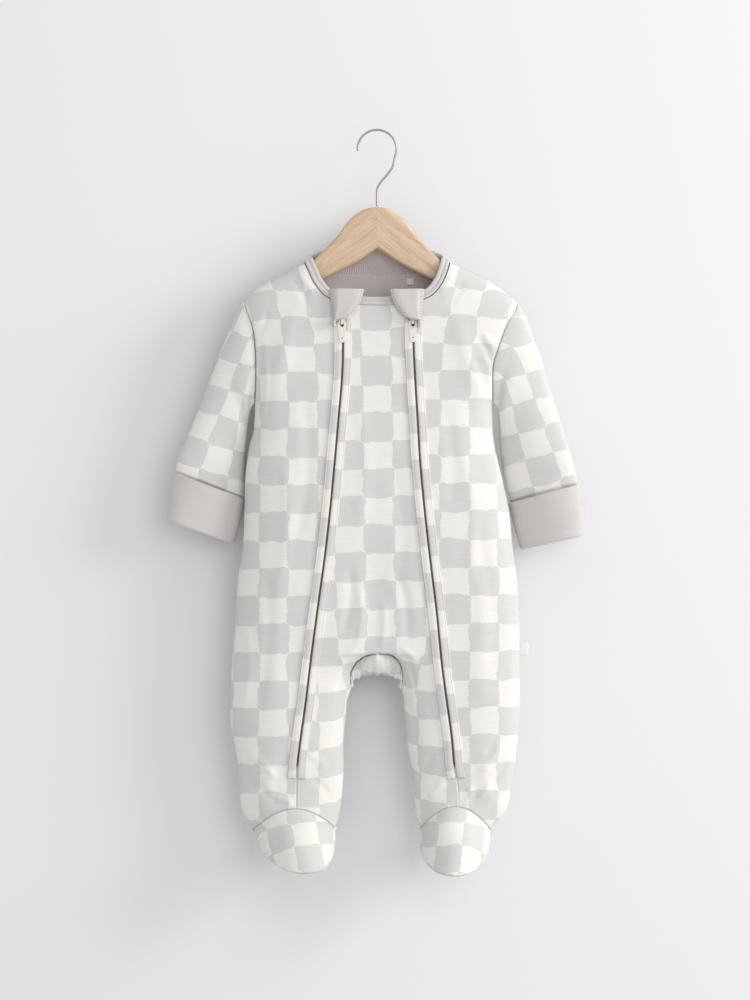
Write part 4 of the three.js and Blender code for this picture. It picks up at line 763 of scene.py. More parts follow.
# Feet: the uppers from the ankle seam to the toe edge, and the soles inside both edges
footPath = {}
for hand in ("left", "right"):
    u = np.linspace(0, 1, 84)
    ankle = gridOf(frontPoints, hand, np.array([30.0]), u * lastColumn)[0]
    toe = np.stack([byRow(foot["toe"][hand][key], u * 9) for key in ("x", "y", "drop")], axis=-1)
    toe[:, 2] *= -1
    toe[[0, -1]] = ankle[[0, -1]]
    t = np.linspace(0, 1, 46)[:, None, None]
    forward = np.array([0, -1, 0.75]) / math.hypot(1, 0.75)
    lift = foot["upperBulge"] * np.sin(math.pi * t) ** 1.25
    lift = lift * np.sin(math.pi * u)[None, :, None] ** 0.6
    upper = mix(ankle[None], toe[None], t) + lift * forward
    # gathers pulled in by the toe seam, most at the outer side, and soft dents over the instep
    seamward = smoothStep(t[..., 0], 0.35, 1.0) * smoothStep(1 - t[..., 0], 0.0, 0.12)
    outerSide = np.exp(-((u - 0.2) / 0.16) ** 2) + 0.45 * np.exp(-((u - 0.86) / 0.1) ** 2)
    phase = 21 * u + 1.3 * np.sin(9 * u + (0 if hand == "left" else 2))
    gathers = 0.55 * np.sin(2 * math.pi * phase)[None] * outerSide[None] * seamward
    dents = 0.9 * np.exp(-((u - 0.36) / 0.07) ** 2)[None] * np.exp(-((t[..., 0] - 0.4) / 0.2) ** 2)
    dents = dents - 0.8 * np.exp(-((u - 0.62) / 0.06) ** 2)[None] * np.exp(
        -((t[..., 0] - 0.3) / 0.22) ** 2)
    upper = upper + outwardNormals(upper, (0, -1, 0.6)) * (gathers - dents)[..., None]
    uv = clothMap(upper, check["foot" + hand.title()], 40, 0, 25.0, 25.0)
    upper = sewnEdges(upper, (0, -1, 0.6), ("top",), 0.2, 1.3)
    upper = sewnEdges(upper, (0, -1, 0.6), ("bottom",), 0.8, 1.4)
    pieces["foot_upper_" + hand] = thicken(
        shellPiece("footUpper" + hand.title(), [(upper, uv)], (0, -1, 0.6)), body["thick"])
    heel = np.stack([byRow(foot["heel"][hand][key], u * 6) for key in ("x", "y", "drop")], axis=-1)
    heel[:, 2] *= -1
    heel[[0, -1]] = ankle[[0, -1]]
    loop = np.concatenate([toe, heel[::-1][1:]])
    centre = loop[:-1].mean(axis=0)
    reach = np.linspace(0, 1, 18)[:, None, None]
    under = np.array([0, 0.34, -1]) / math.hypot(1, 0.34)
    rings = mix(centre, loop[None], reach) + foot["soleBulge"] * (1 - reach ** 3) * under
    rings = sewnEdges(rings, under, ("bottom",), 0.9, 1.5)
    soleUv = np.stack([rings[..., 0] / check["wide"], rings[..., 1] / check["tall"]], axis=-1)
    sole = weld(shellPiece("footSole" + hand.title(), [(rings, soleUv)], under))
    pieces["foot_sole_" + hand] = thicken(sole, body["thick"])
    footPath[hand] = loop
print("feet made")

# Gusset: from the arch's front seam, under, to its back seam
places = np.linspace(-5, 5, 92)
turns = np.radians(np.linspace(-90, 90, 52))
at = np.abs(places)
seams = []
for make in (frontPoints, backPoints):
    sides = [make(hand, 18 + at, np.full_like(at, lastColumn)) for hand in ("left", "right")]
    seams.append(np.where(places[:, None] < 0, sides[0], sides[1]))
low = byRow(arch["low"], at)
x = (seams[0][:, 0] + seams[1][:, 0]) / 2
drop = -(seams[0][:, 2] + seams[1][:, 2]) / 2
sin, cos = np.sin(turns)[None], np.cos(turns)[None]
depth = np.where(sin < 0, byRow(arch["front"], at)[:, None], byRow(arch["back"], at)[:, None])
narrow = mix(0.93, 1, (at / 5) ** 4)
sheet = np.stack([(narrow * x)[:, None] * cos + x[:, None] * (1 - cos), depth * sin,
                  -mix(drop[:, None], low[:, None], cos)], axis=-1)
for seam, end in ((seams[0], 0), (seams[1], -1)):
    near = np.clip(-np.sin(turns) if end == 0 else np.sin(turns), 0, 1) ** 4
    sheet = sheet + (seam - sheet[:, end])[:, None] * near[None, :, None]
# the cloth puckers under the arch
puckers = 0.5 * np.sin(5.2 * places[:, None] + 1.6 * np.cos(2 * turns)[None]) + 0.4 * np.sin(
    8.1 * places[:, None] - 1.9 * turns[None] + 1)
puckers = puckers * np.cos(turns)[None] ** 0.6 * np.clip((5 - at[:, None]) / 1.2, 0, 1)
sheet = sheet + outwardNormals(sheet, (0, 0, -1)) * puckers[..., None]
gussetUv = clothMap(sheet.transpose(1, 0, 2), (-3.0, 500.0, 8.0), 46, 26).transpose(1, 0, 2)
sheet = sewnEdges(sheet, (0, 0, -1), ("left", "right"), 0.9, 1.3)
piece = weld(shellPiece("crotchGusset", [(sheet, gussetUv)], (0, 0, -1)))
pieces["crotch_gusset"] = thicken(piece, body["thick"])
print("gusset made")


# Closed strips and tubes: rings of points in order, drawn together at both ends
def ringPiece(name, rings, uv=None, capped=True, loop=False):
    n, m = rings.shape[:2]
    closedRings = np.concatenate([rings, rings[:, :1]], axis=1)
    if uv is None:
        uv = np.zeros((n, m, 2))
    uv = np.concatenate([uv, uv[:, :1]], axis=1)
    if loop:
        closedRings = np.concatenate([closedRings, closedRings[:1]])
        uv = np.concatenate([uv, uv[:1]])
    elif capped:
        ends = [np.repeat(ring.mean(axis=0)[None, None], m + 1, axis=1) for ring in
                (rings[0], rings[-1])]
        closedRings = np.concatenate([ends[0], closedRings, ends[1]])
        uv = np.concatenate([uv[:1], uv, uv[-1:]])
    piece = makeMesh(name, closedRings.reshape(-1, 3), gridFaces(*closedRings.shape[:2]),
                     uv.reshape(-1, 2))
    return weld(piece, 0.004, closed=True)


def joined(name, parts):
    # one object from several of the same kind
    bm = bmesh.new()
    for part in parts:
        bm.from_mesh(part.data)
    mesh = bpy.data.meshes.new(name)
    bm.to_mesh(mesh)
    bm.free()
    for part in parts:
        bpy.data.objects.remove(part)
    piece = bpy.data.objects.new(name, mesh)
    scene.collection.objects.link(piece)
    return piece


# Zip welts: a strip folded over on each side of the zip, its free fold beside the coil
welt = {
    "inner": 0.9,
    "wide": 7.0,
    "low": 0.1,
    "high": 2.0,
    "roundSlider": 2.6,
    "sliderEnd": 186,
}
# where a ring's points lie: a share of the strip's width and of its height
weltSection = [(0.02, 0.0), (0.0, 0.35), (0.01, 0.75), (0.06, 1.0), (0.2, 1.06), (0.45, 1.04),
               (0.7, 0.96), (0.8, 0.78), (0.83, 0.76), (0.87, 0.86), (0.94, 0.82), (0.99, 0.6),
               (1.0, 0.12), (0.97, 0.0), (0.5, 0.0)]
coil = {"pitch": 1.15, "long": 0.62, "wide": 1.25, "off": (-1.2, 0.5)}
stitchKinds = {}


def stitchRow(name, path, normals, long=2.3, gap=0.7, radius=0.2, sink=0.05):
    # stitches of a fixed length along a path, each a short spindle of three rings
    path, normals = np.asarray(path, float), np.asarray(normals, float)
    run = np.concatenate([[0], np.cumsum(np.linalg.norm(np.diff(path, axis=0), axis=1))])
    count = max(1, int(run[-1] / (long + gap)))
    starts = (np.arange(count) + 0.5) * (run[-1] / count)
    spots = starts[:, None] + np.array([-0.5, -0.3, 0, 0.3, 0.5])[None] * long
    where = np.stack([np.interp(spots, run, path[:, i]) for i in range(3)], axis=-1)
    up = np.stack([np.interp(spots, run, normals[:, i]) for i in range(3)], axis=-1)
    up /= np.maximum(np.linalg.norm(up, axis=-1, keepdims=True), 1e-9)
    along = np.gradient(where, axis=1)
    along /= np.maximum(np.linalg.norm(along, axis=-1, keepdims=True), 1e-9)
    side = np.cross(along, up)
    size = np.array([0.05, 0.85, 1, 0.85, 0.05]) * radius
    dip = np.array([-1.4, -0.1, 0.25, -0.1, -1.4]) * radius - sink
    angle = np.linspace(0, 2 * math.pi, 6, endpoint=False)
    ring = (side[:, :, None] * np.cos(angle)[None, None, :, None] * 1.15
            + up[:, :, None] * np.sin(angle)[None, None, :, None] * 0.8)
    points = where[:, :, None] + up[:, :, None] * dip[None, :, None, None]
    points = points + ring * size[None, :, None, None]
    turnOf = np.arange(6)
    a = np.arange(4)[:, None] * 6 + turnOf[None]
    b = np.arange(4)[:, None] * 6 + (turnOf[None] + 1) % 6
    quads = np.stack([a, b, b + 6, a + 6], axis=-1).reshape(-1, 4)
    faces = (quads[None] + (np.arange(count) * 30)[:, None, None]).reshape(-1, 4)
    return makeMesh(name, points.reshape(-1, 3), faces[:, ::-1])


weltPaths = {}
for hand in ("left", "right"):
    drops = np.linspace(body["weltTop"], body["weltEnd"], 226)
    k = rowAtDrop(hand, drops)
    strips, stitches = [], []
    for side in (-1, 1):
        share = np.array([w for w, h in weltSection])
        height = np.array([h for w, h in weltSection])
        # the free fold draws back round the slider
        back = welt["roundSlider"] * smoothStep(welt["sliderEnd"] - drops, 0, 7)[:, None]
        offsets = side * (welt["inner"] + back + (welt["wide"] - back) * share[None])
        base = besideZip(hand, k, offsets)
        # every point of a ring stands off along the cloth's normal under it
        normals = outwardNormals(besideZip(hand, k, np.linspace(
            offsets.min(), offsets.max(), len(share))), out["front"])
        normals = np.repeat(normals.mean(axis=1, keepdims=True), len(share), axis=1)
        wobble = 1 + 0.05 * np.sin(drops / 17 + side) + 0.03 * np.sin(drops / 5.3)
        off = welt["low"] + welt["high"] * height[None] * wobble[:, None]
        flatEnd = smoothStep(body["weltEnd"] - drops, -0.5, 5)[:, None]
        off = welt["low"] + (off - welt["low"]) * (0.45 + 0.55 * flatEnd)
        rings = base + normals * off[..., None]
        place = check["frontLeft" if hand == "left" else "frontRight"]
        across = np.cumsum(np.abs(np.diff(np.concatenate([[share[0]], share])))) * welt["wide"]
        uv = np.stack([np.broadcast_to((across / check["wide"] + 0.42 + 0.5 * side)[None],
                                       off.shape),
                       np.broadcast_to((drops / check["tall"] + 0.35 * side)[:, None],
                                       off.shape)], axis=-1)
        strips.append(ringPiece("strip", rings, uv))
        stitchAt = 8
        stitches.append((rings[:, stitchAt], normals[:, stitchAt]))
    pieces["zip_welt_" + hand] = joined("zipWelt" + hand.title(), strips)
    stitched = [stitchRow("row", path, up) for path, up in stitches]
    endRow = besideZip(hand, rowAtDrop(hand, np.array([body["weltEnd"] - 3.0])),
                       np.linspace(-7, 7, 12))[0]
    lift = np.array([[0, -1.0, 0]])
    stitched.append(stitchRow("end", endRow + lift * 1.6, np.repeat(lift, 12, axis=0)))
    pieces["weltStitches_" + hand] = joined("weltStitches" + hand.title(), stitched)
    # tape under the gap, and the closed coil lying on it
    tapeDrops = np.linspace(158, body["weltEnd"] - 1.5, 200)
    tapeRows = rowAtDrop(hand, tapeDrops)
    tape = besideZip(hand, tapeRows, np.linspace(-7, 7, 9))
    normals = outwardNormals(tape, out["front"])
    tapeUv = np.stack(np.meshgrid(np.linspace(0, 1, 9), tapeDrops, indexing="xy"), axis=-1)
    piece = shellPiece("zipTape" + hand.title(), [(tape - normals * 2.3, tapeUv)], out["front"])
    pieces["zip_tape_" + hand] = thicken(piece, 0.6)
    teeth = np.arange(158, body["zipEnd"] - 1, coil["pitch"] / 2)
    line = besideZip(hand, rowAtDrop(hand, teeth), np.array([0.0]))[:, 0]
    up = np.gradient(line, axis=0)
    up /= np.linalg.norm(up, axis=1, keepdims=True)
    face = np.cross(up, np.array([1.0, 0, 0]))
    face *= np.sign(-face[:, 1:2])
    wide = np.cross(up, face)
    shift = np.where(np.arange(len(teeth)) % 2 == 0, -0.28, 0.28)[:, None]
    corners = []
    for w in (-1, 1):
        for l in (-1, 1):
            for h in coil["off"]:
                narrow = 0.78 if h == coil["off"][1] else 1
                corners.append(line + wide * (shift + w * coil["wide"] / 2 * narrow)
                               + up * l * coil["long"] / 2 * narrow + face * h)
    blocks = np.stack(corners, axis=1)
    boxFaces = np.array([(0, 1, 3, 2), (4, 6, 7, 5), (0, 4, 5, 1), (2, 3, 7, 6), (0, 2, 6, 4),
                         (1, 5, 7, 3)])
    faces = (boxFaces[None] + (np.arange(len(teeth)) * 8)[:, None, None]).reshape(-1, 4)
    piece = makeMesh("zipCoil" + hand.title(), blocks.reshape(-1, 3), faces, smooth=False)
    pieces["zipCoil_" + hand] = weld(piece, 0.0001, closed=True)
    piece.data.polygons.foreach_set("use_smooth", np.full(len(piece.data.polygons), False))
print("zips made")

# Zip guards: a flap folded over at its top, sewn down at its outer side
guard = {
    "drop": [145.5, 144.7, 150.2, 157.4, 163, 168, 171.2, 172.8, 178.4],
    "outer": [43.2, 43.2, 42.6, 41.9, 41.4, 40.8, 40.3, 40.2, 39.9],
    "inner": [11.8, 11.8, 12.8, 15.2, 19, 24.2, 29.4, 36.8, 37.4],
    "back": [3.4, 1.2, 0, 0, 0, 0, 0, 0, 0],
    "sewn": [1.8, 1.8, 1.8, 0.5, 0.5, 0.5, 0.5, 0.5, 0.5],
    "tuck": [2.6, 2.6, 2.6, 2.6, 2.6, 0.4, 0, 0, 0],
    "off": 6.1,
    "thick": 1.7,
    "rise": 0.26,
    "tuckFrom": 0.65,
    "levelAbove": 150,
    "groove": (2.1, 0.55, 0.35),
}


def guardLine(values, r):
    # straight between the rows, as the flap is cut
    return np.interp(r, np.arange(len(values)), values)


for hand in ("left", "right"):
    sign = -1 if hand == "left" else 1
    r = np.concatenate([np.linspace(0, 1.6, 12)[:-1], np.linspace(1.6, 8, 56)])
    u = np.linspace(0, 1, 52)
    rr, uu = np.meshgrid(r, u, indexing="ij")
    drop = byRow(guard["drop"], rr)
    outer, inner = byRow(guard["outer"], rr), byRow(guard["inner"], rr)
    x = sign * mix(outer, inner, uu)
    near = np.maximum(drop, guard["levelAbove"])
    cloth = bodyDepth(x, near, "front") + foldHeight(x, near, "front")
    rise = np.sin(math.pi / 2 * np.minimum(1, uu / guard["rise"]))
    sewn, tuck = byRow(guard["sewn"], rr), byRow(guard["tuck"], rr)
    tucked = np.clip((uu - guard["tuckFrom"]) / (1 - guard["tuckFrom"]), 0, 1) ** 2
    stand = sewn + (guard["off"] - sewn) * rise - tuck * tucked + guard["thick"]
    grid = np.stack([x, byRow(guard["back"], rr) - cloth - stand, -drop], axis=-1)
    down, across = runLength(grid, 0), runLength(grid, 1)
    edge = np.minimum(across, across[:, -1:] - across)
    edge = np.minimum(edge, down[-1:] - down)
    at, wide, deep = guard["groove"]
    roll = 0.35 * np.exp(-(edge / 1.0) ** 2) * -1 - deep * np.exp(-((edge - at) / wide) ** 2)
    soft = 0.25 * np.sin(uu * 5 + rr * 0.7 + sign) * np.sin(math.pi * uu)
    normals = outwardNormals(grid, out["front"])
    grid = grid + normals * (roll + soft)[..., None]
    uv = np.stack([across, down], axis=-1)
    piece = shellPiece("zipGuard" + hand.title(), [(grid, uv)], out["front"])
    pieces["zip_guard_" + hand] = thicken(piece, guard["thick"])
    rows = []
    for inset in (2.1, 3.9):
        path = []
        columns = np.array([np.interp(inset, across[i], u) for i in range(len(r))])
        for i in range(8, len(r) - 3):
            path.append((i, np.interp(inset, across[i], np.arange(len(u)))))
        track = np.array([[np.interp(j, np.arange(len(u)), grid[i, :, axis]) for axis in range(3)]
                          for i, j in path])
        ups = np.array([[np.interp(j, np.arange(len(u)), normals[i, :, axis]) for axis in range(3)]
                        for i, j in path])
        rows.append(stitchRow("row", track, ups, 1.9, 0.6, 0.27, -0.02))
    path = [(i, np.interp(across[i, -1] - 2.1, across[i], np.arange(len(u))))
            for i in range(8, len(r) - 9)]
    track = np.array([[np.interp(j, np.arange(len(u)), grid[i, :, axis]) for axis in range(3)]
                      for i, j in path])
    ups = np.array([[np.interp(j, np.arange(len(u)), normals[i, :, axis]) for axis in range(3)]
                    for i, j in path])
    rows.append(stitchRow("row", track, ups, 1.9, 0.6, 0.27, -0.02))
    pieces["guardStitches_" + hand] = joined("guardStitches" + hand.title(), rows)
print("guards made")

# Neck bindings: a strip on the neck seam that leans in towards a point inside the neck
binding = {
    "wide": 8.0,
    "off": (-2.1, 0.5),
    "focus": (0, 0, -90),
    "seam": 0.15,
}
# section of a binding: share of its width and of its thickness, with a groove between its bands
bindingSection = [(0.0, 0.12), (0.0, 0.9), (0.08, 1.0), (0.2, 1.06), (0.36, 1.02), (0.43, 0.86),
                  (0.47, 0.8), (0.51, 0.86), (0.58, 1.02), (0.74, 1.1), (0.88, 1.04), (0.96, 0.86),
                  (1.0, 0.5), (0.96, 0.14), (0.86, 0.0), (0.5, -0.02), (0.1, 0.0)]


def bindingRings(path, turn):
    run = np.gradient(path, axis=0)
    run /= np.linalg.norm(run, axis=1, keepdims=True)
    reach = np.array(binding["focus"], float)[None] - path
    reach[:, 1] *= 1 - smoothStep(path[:, 1], -0.5, 0.5)
    reach -= run * (reach * run).sum(axis=1, keepdims=True)
    reach /= np.linalg.norm(reach, axis=1, keepdims=True)
    normal = np.cross(reach, run) * turn
    share = np.array([w for w, h in bindingSection])
    height = np.array([h for w, h in bindingSection])
    far = binding["seam"] + (binding["wide"] - binding["seam"]) * share
    low, high = binding["off"]
    off = mix(low, high, height)
    rings = path[:, None] + reach[:, None] * far[None, :, None]
    return rings + normal[:, None] * off[None, :, None], reach, normal


upward = np.linspace(5, 0, 60)
sideNeck = {hand: frontPoints(hand, upward, np.full(60, zipColumn * 1.0)) for hand in
            ("left", "right")}
overBack = np.linspace(6, 10, 70)
leftNeck = backPoints("left", np.zeros(70), overBack)
rightNeck = backPoints("right", np.zeros(70), overBack)
neckPath = np.concatenate([sideNeck["left"], leftNeck[1:], rightNeck[::-1][1:],
                           sideNeck["right"][::-1][1:]])
rings, reach, normal = bindingRings(neckPath, 1)
length = np.concatenate([[0], np.cumsum(np.linalg.norm(np.diff(neckPath, axis=0), axis=1))])
uv = np.stack([np.broadcast_to(length[:, None], rings.shape[:2]),
               np.broadcast_to(np.arange(rings.shape[1])[None] * 1.0, rings.shape[:2])], axis=-1)
inside = (length > 2.2) & (length < length[-1] - 2.2)
pieces["neck_binding"] = ringPiece("neckBinding", rings[inside], uv[inside])
overFront = np.linspace(6, 10, 40)
centrePath = np.concatenate([frontPoints("left", np.full(40, 5.0), overFront),
                             frontPoints("right", np.full(40, 5.0), overFront)[::-1][1:]])
rings, reach, normal = bindingRings(centrePath, -1)
length = np.concatenate([[0], np.cumsum(np.linalg.norm(np.diff(centrePath, axis=0), axis=1))])
uv = np.stack([np.broadcast_to(length[:, None], rings.shape[:2]),
               np.broadcast_to(np.arange(rings.shape[1])[None] * 1.0, rings.shape[:2])], axis=-1)
inside = (length > 2.2) & (length < length[-1] - 2.2)
pieces["centre_binding"] = ringPiece("centreBinding", rings[inside], uv[inside])
print("bindings made")

# Back neck facing on the inside of the back, its ribbed neck tape, and the small blank tab
facing = {"half": 54, "off": -2.4, "thick": 1.3, "rows": (0.06, 4), "round": 0.96, "above": 9.5}
u = np.linspace(-1, 1, 100)
v = np.linspace(0, 1, 46)
vv, uu = np.meshgrid(v, u, indexing="ij")
depth = mix(0.5, 1, np.sqrt(1 - uu ** 2 * facing["round"]))
k = mix(facing["rows"][0], mix(facing["rows"][0], facing["rows"][1], vv), depth)
x = facing["half"] * np.where(uu == 0, 1e-6, uu)


def onBack(k, x):
    left = backPoints("left", k, columnAt(backPoints, "left", k, np.minimum(x, -1e-6)))
    right = backPoints("right", k, columnAt(backPoints, "right", k, np.maximum(x, 1e-6)))
    return np.where((x < 0)[..., None], left, right)


grid = onBack(k, x)
normals = outwardNormals(grid, out["back"])
inner = grid + normals * facing["off"]
# its top reaches up behind the binding
inner[..., 2] += facing["above"] * (1 - smoothStep(vv, 0, 0.2))
uv = np.stack([runLength(inner, 1), runLength(inner, 0)], axis=-1)
inner = inner - normals * facing["thick"]
piece = shellPiece("backFacing", [(inner, uv)], out["front"])
pieces["back_facing"] = thicken(piece, facing["thick"])
tabRows, tabColumns = np.linspace(2.35, 2.75, 8), np.linspace(27, 33.6, 10)
k, x = np.meshgrid(tabRows, tabColumns, indexing="ij")
tab = onBack(k, x)
tab = tab - outwardNormals(tab, out["back"]) * 4.8
uv = np.stack([runLength(tab, 1), runLength(tab, 0)], axis=-1)
pieces["neck_tab"] = thicken(shellPiece("neckTab", [(tab, uv)], out["front"]), 0.7)

# Side seam tab: a folded tape, open at its seam
sideTab = {"drop": 472, "gap": 0.4, "wide": 7.5, "tall": 11, "thick": 1.0}
edge = float(curveThrough(outline["drop"], outline["right"], sideTab["drop"])) + sideTab["gap"]
x = np.linspace(0, sideTab["wide"], 14)
z = np.linspace(-sideTab["tall"] / 2, sideTab["tall"] / 2, 14)
half = sideTab["thick"] / 2 * np.sqrt(np.clip(1 - (x / sideTab["wide"]) ** 8, 0.02, 1))
ring = np.concatenate([np.stack([edge + x, -half, 0 * x], -1),
                       np.stack([edge + x, half, 0 * x], -1)[::-1]])
rings = np.repeat(ring[None], len(z), axis=0)
rings[..., 2] += (z - sideTab["drop"])[:, None]
rings[..., 0] += 0.25 * np.sin(z / 3)[:, None] * (rings[..., 0] - edge) / sideTab["wide"]
uv = np.stack([rings[..., 0], rings[..., 2]], axis=-1)
pieces["side_label"] = ringPiece("sideLabel", rings, uv)
print("facing and tabs made")

# Cuffs: folded back, open along their free upper edge at the front
cuffSection = [  # share of the way down, distance out, share of the slit
    (0, 0.9, 1), (0, 2.5, 1), (0.12, 2.7, 0.75), (0.35, 2.7, 0.3), (0.7, 2.5, 0), (0.96, 2.1, 0),
    (1, 0.6, 0), (0.97, -1.3, 0), (0.6, -2, 0), (0.17, -2, 0), (0.17, -0.1, 0), (0.6, -0.1, 0),
    (0.93, 0.1, 0), (0.93, 0.7, 0), (0.6, 0.8, 0), (0.3, 0.9, 0.4),
]
for hand in ("left", "right"):
    wrapped = [cuffSection[-1]] + cuffSection + cuffSection[:2]
    s = np.linspace(1, len(wrapped) - 2, 132, endpoint=False)
    down, outBy, slit = [np.interp(s, np.arange(len(wrapped)), [row[i] for row in wrapped])
                         for i in range(3)]
    soft = np.array([0.15, 0.7, 0.15])
    down, outBy, slit = [np.convolve(np.r_[v[-1], v, v[0]], soft, "valid")
                         for v in (down, outBy, slit)]
    table = cuff[hand]
    angle = np.linspace(0, 2 * math.pi, 96, endpoint=False)
    dd, aa = np.meshgrid(down, angle, indexing="ij")
    oo, ss = np.meshgrid(outBy, angle, indexing="ij")[0], np.meshgrid(slit, angle, indexing="ij")[0]
    outerX, innerX = mix(*table["outer"], dd), mix(*table["inner"], dd)
    outerD, innerD = mix(*table["outerDrop"], dd), mix(*table["innerDrop"], dd)
    half = np.hypot((innerX - outerX) / 2, (innerD - outerD) / 2)
    share = (1 - np.cos(aa)) / 2
    widening = (half + oo) / half
    gape = ss * cuff["gape"] * np.maximum(0, np.sin(aa)) ** 1.5
    middleX, middleD = (outerX + innerX) / 2, (outerD + innerD) / 2
    rings = np.stack([
        middleX - np.cos(aa) * (innerX - outerX) / 2 * widening,
        cuff["shift"] * share - np.sin(aa) * (cuff["depth"] + oo) - gape,
        -(middleD - np.cos(aa) * (innerD - outerD) / 2 * widening)], axis=-1)
    uv = np.stack([aa * 12, dd * 44], axis=-1)
    pieces["cuff_" + hand] = ringPiece("cuff" + hand.title(), rings, uv, loop=True)
print("cuffs made")

# Hanger: sections across its arms, rounded, and the bent wire hook
hanger = {
    "topX": [0, 9.6, 21, 29, 36, 44.8, 57.3, 66, 81, 96.5, 103, 106],
    "top": [69.2, 70.8, 77, 85.6, 95.4, 104.8, 117.4, 123.9, 131.9, 140.2, 144.6, 147.4],
    "lowX": [0, 21, 50, 66, 88, 101, 106],
    "low": [107.4, 121, 135.6, 142, 150, 154, 152.4],
    "end": 107,
    "thick": 10.6,
    "round": 4.2,
}
s = np.sin(np.linspace(-1, 1, 260) * math.pi / 2)
x = s * hanger["end"]
flat = np.abs(x)
top = curveThrough(hanger["topX"], hanger["top"], flat)
low = curveThrough(hanger["lowX"], hanger["low"], flat)
closing = np.sqrt(np.clip(1 - (np.maximum(0, flat - 101) / 6) ** 2, 0, 1))
middleDrop, halfTall = (top + low) / 2, (low - top) / 2 * closing
halfThick = hanger["thick"] / 2 * (0.25 + 0.75 * closing)
angle = np.linspace(0, 2 * math.pi, 56, endpoint=False)
corner = np.minimum(hanger["round"], np.minimum(halfTall, halfThick))
cosA, sinA = np.cos(angle)[None], np.sin(angle)[None]
rings = np.stack([
    np.broadcast_to(x[:, None], (len(x), len(angle))),
    np.sign(cosA) * (halfThick - corner)[:, None] + cosA * corner[:, None],
    -(middleDrop[:, None] - np.sign(sinA) * (halfTall - corner)[:, None]
      - sinA * corner[:, None])], axis=-1)
uv = np.stack([rings[..., 0], rings[..., 2]], axis=-1)
pieces["hanger_wood"] = ringPiece("hangerWood", rings, uv)
hook = {
    "radius": 17.7, "wire": 1.0,
    "shank": [(0, -68.6), (0, -60), (0.2, -53), (3, -47.2), (8.6, -40.6), (14, -33)],
    "turns": (-25, 185),
}
turns = np.radians(np.arange(hook["turns"][0], hook["turns"][1] + 1, 15))
centreZ = -(hook["radius"] - hook["wire"])
spots = np.array(hook["shank"] + [(hook["radius"] * math.cos(t), centreZ
                                   + hook["radius"] * math.sin(t)) for t in turns])
at = np.linspace(0, len(spots) - 1, 260)
line = np.stack([byRow(spots[:, 0], at), 0 * at, byRow(spots[:, 1], at)], axis=-1)
along = np.gradient(line, axis=0)
along /= np.linalg.norm(along, axis=1, keepdims=True)
side = np.cross(along, np.array([0, 1.0, 0]))
angle = np.linspace(0, 2 * math.pi, 20, endpoint=False)
taper = np.ones(len(line))
taper[-4:] = [0.98, 0.92, 0.78, 0.5]
ring = (side[:, None] * np.cos(angle)[None, :, None]
        + np.array([0, 1.0, 0])[None, None] * np.sin(angle)[None, :, None])
rings = line[:, None] + ring * hook["wire"] * taper[:, None, None]
pieces["hanger_hook"] = ringPiece("hangerHook", rings)
print("hanger made")


# Materials. Node trees are built by two small helpers: an input is a socket or a plain value.
def node(tree, kind, inputs=None, **settings):
    made = tree.nodes.new(kind)
    for key, value in settings.items():
        setattr(made, key, value)
    for key, value in (inputs or {}).items():
        if isinstance(value, bpy.types.NodeSocket):
            tree.links.new(value, made.inputs[key])
        else:
            made.inputs[key].default_value = value
    return made


def calc(tree, operation, *values, clamp=False):
    made = node(tree, "ShaderNodeMath", dict(enumerate(values)), operation=operation)
    made.use_clamp = clamp
    return made.outputs[0]


def softStep(tree, value, low, high):
    made = node(tree, "ShaderNodeMapRange", {0: value, 1: low, 2: high, 3: 0.0, 4: 1.0},
                interpolation_type="SMOOTHSTEP")
    return made.outputs[0]


def noise(tree, vector, scale, detail=2.0, rough=0.5, distort=0.0):
    return node(tree, "ShaderNodeTexNoise", {"Vector": vector, "Scale": scale, "Detail": detail,
                                             "Roughness": rough, "Distortion": distort})


def newGroup(name, inputs, outputs):
    group = bpy.data.node_groups.new(name, "ShaderNodeTree")
    for label, kind in inputs:
        group.interface.new_socket(label, in_out="INPUT", socket_type=kind)
    for label, kind in outputs:
        group.interface.new_socket(label, in_out="OUTPUT", socket_type=kind)
    return group, group.nodes.new("NodeGroupInput"), group.nodes.new("NodeGroupOutput")


def sRgb(r, g, b):
    # colours are written as they show on a screen
    part = [v / 255 for v in (r, g, b)]
    return (*[v / 12.92 if v <= 0.04045 else ((v + 0.055) / 1.055) ** 2.4 for v in part], 1)


def mixColour(tree, share, a, b, blend="MIX"):
    made = node(tree, "ShaderNodeMix", data_type="RGBA", blend_type=blend)
    for key, value in ((0, share), (6, a), (7, b)):
        if isinstance(value, bpy.types.NodeSocket):
            tree.links.new(value, made.inputs[key])
        else:
            made.inputs[key].default_value = value
    return made.outputs[2]


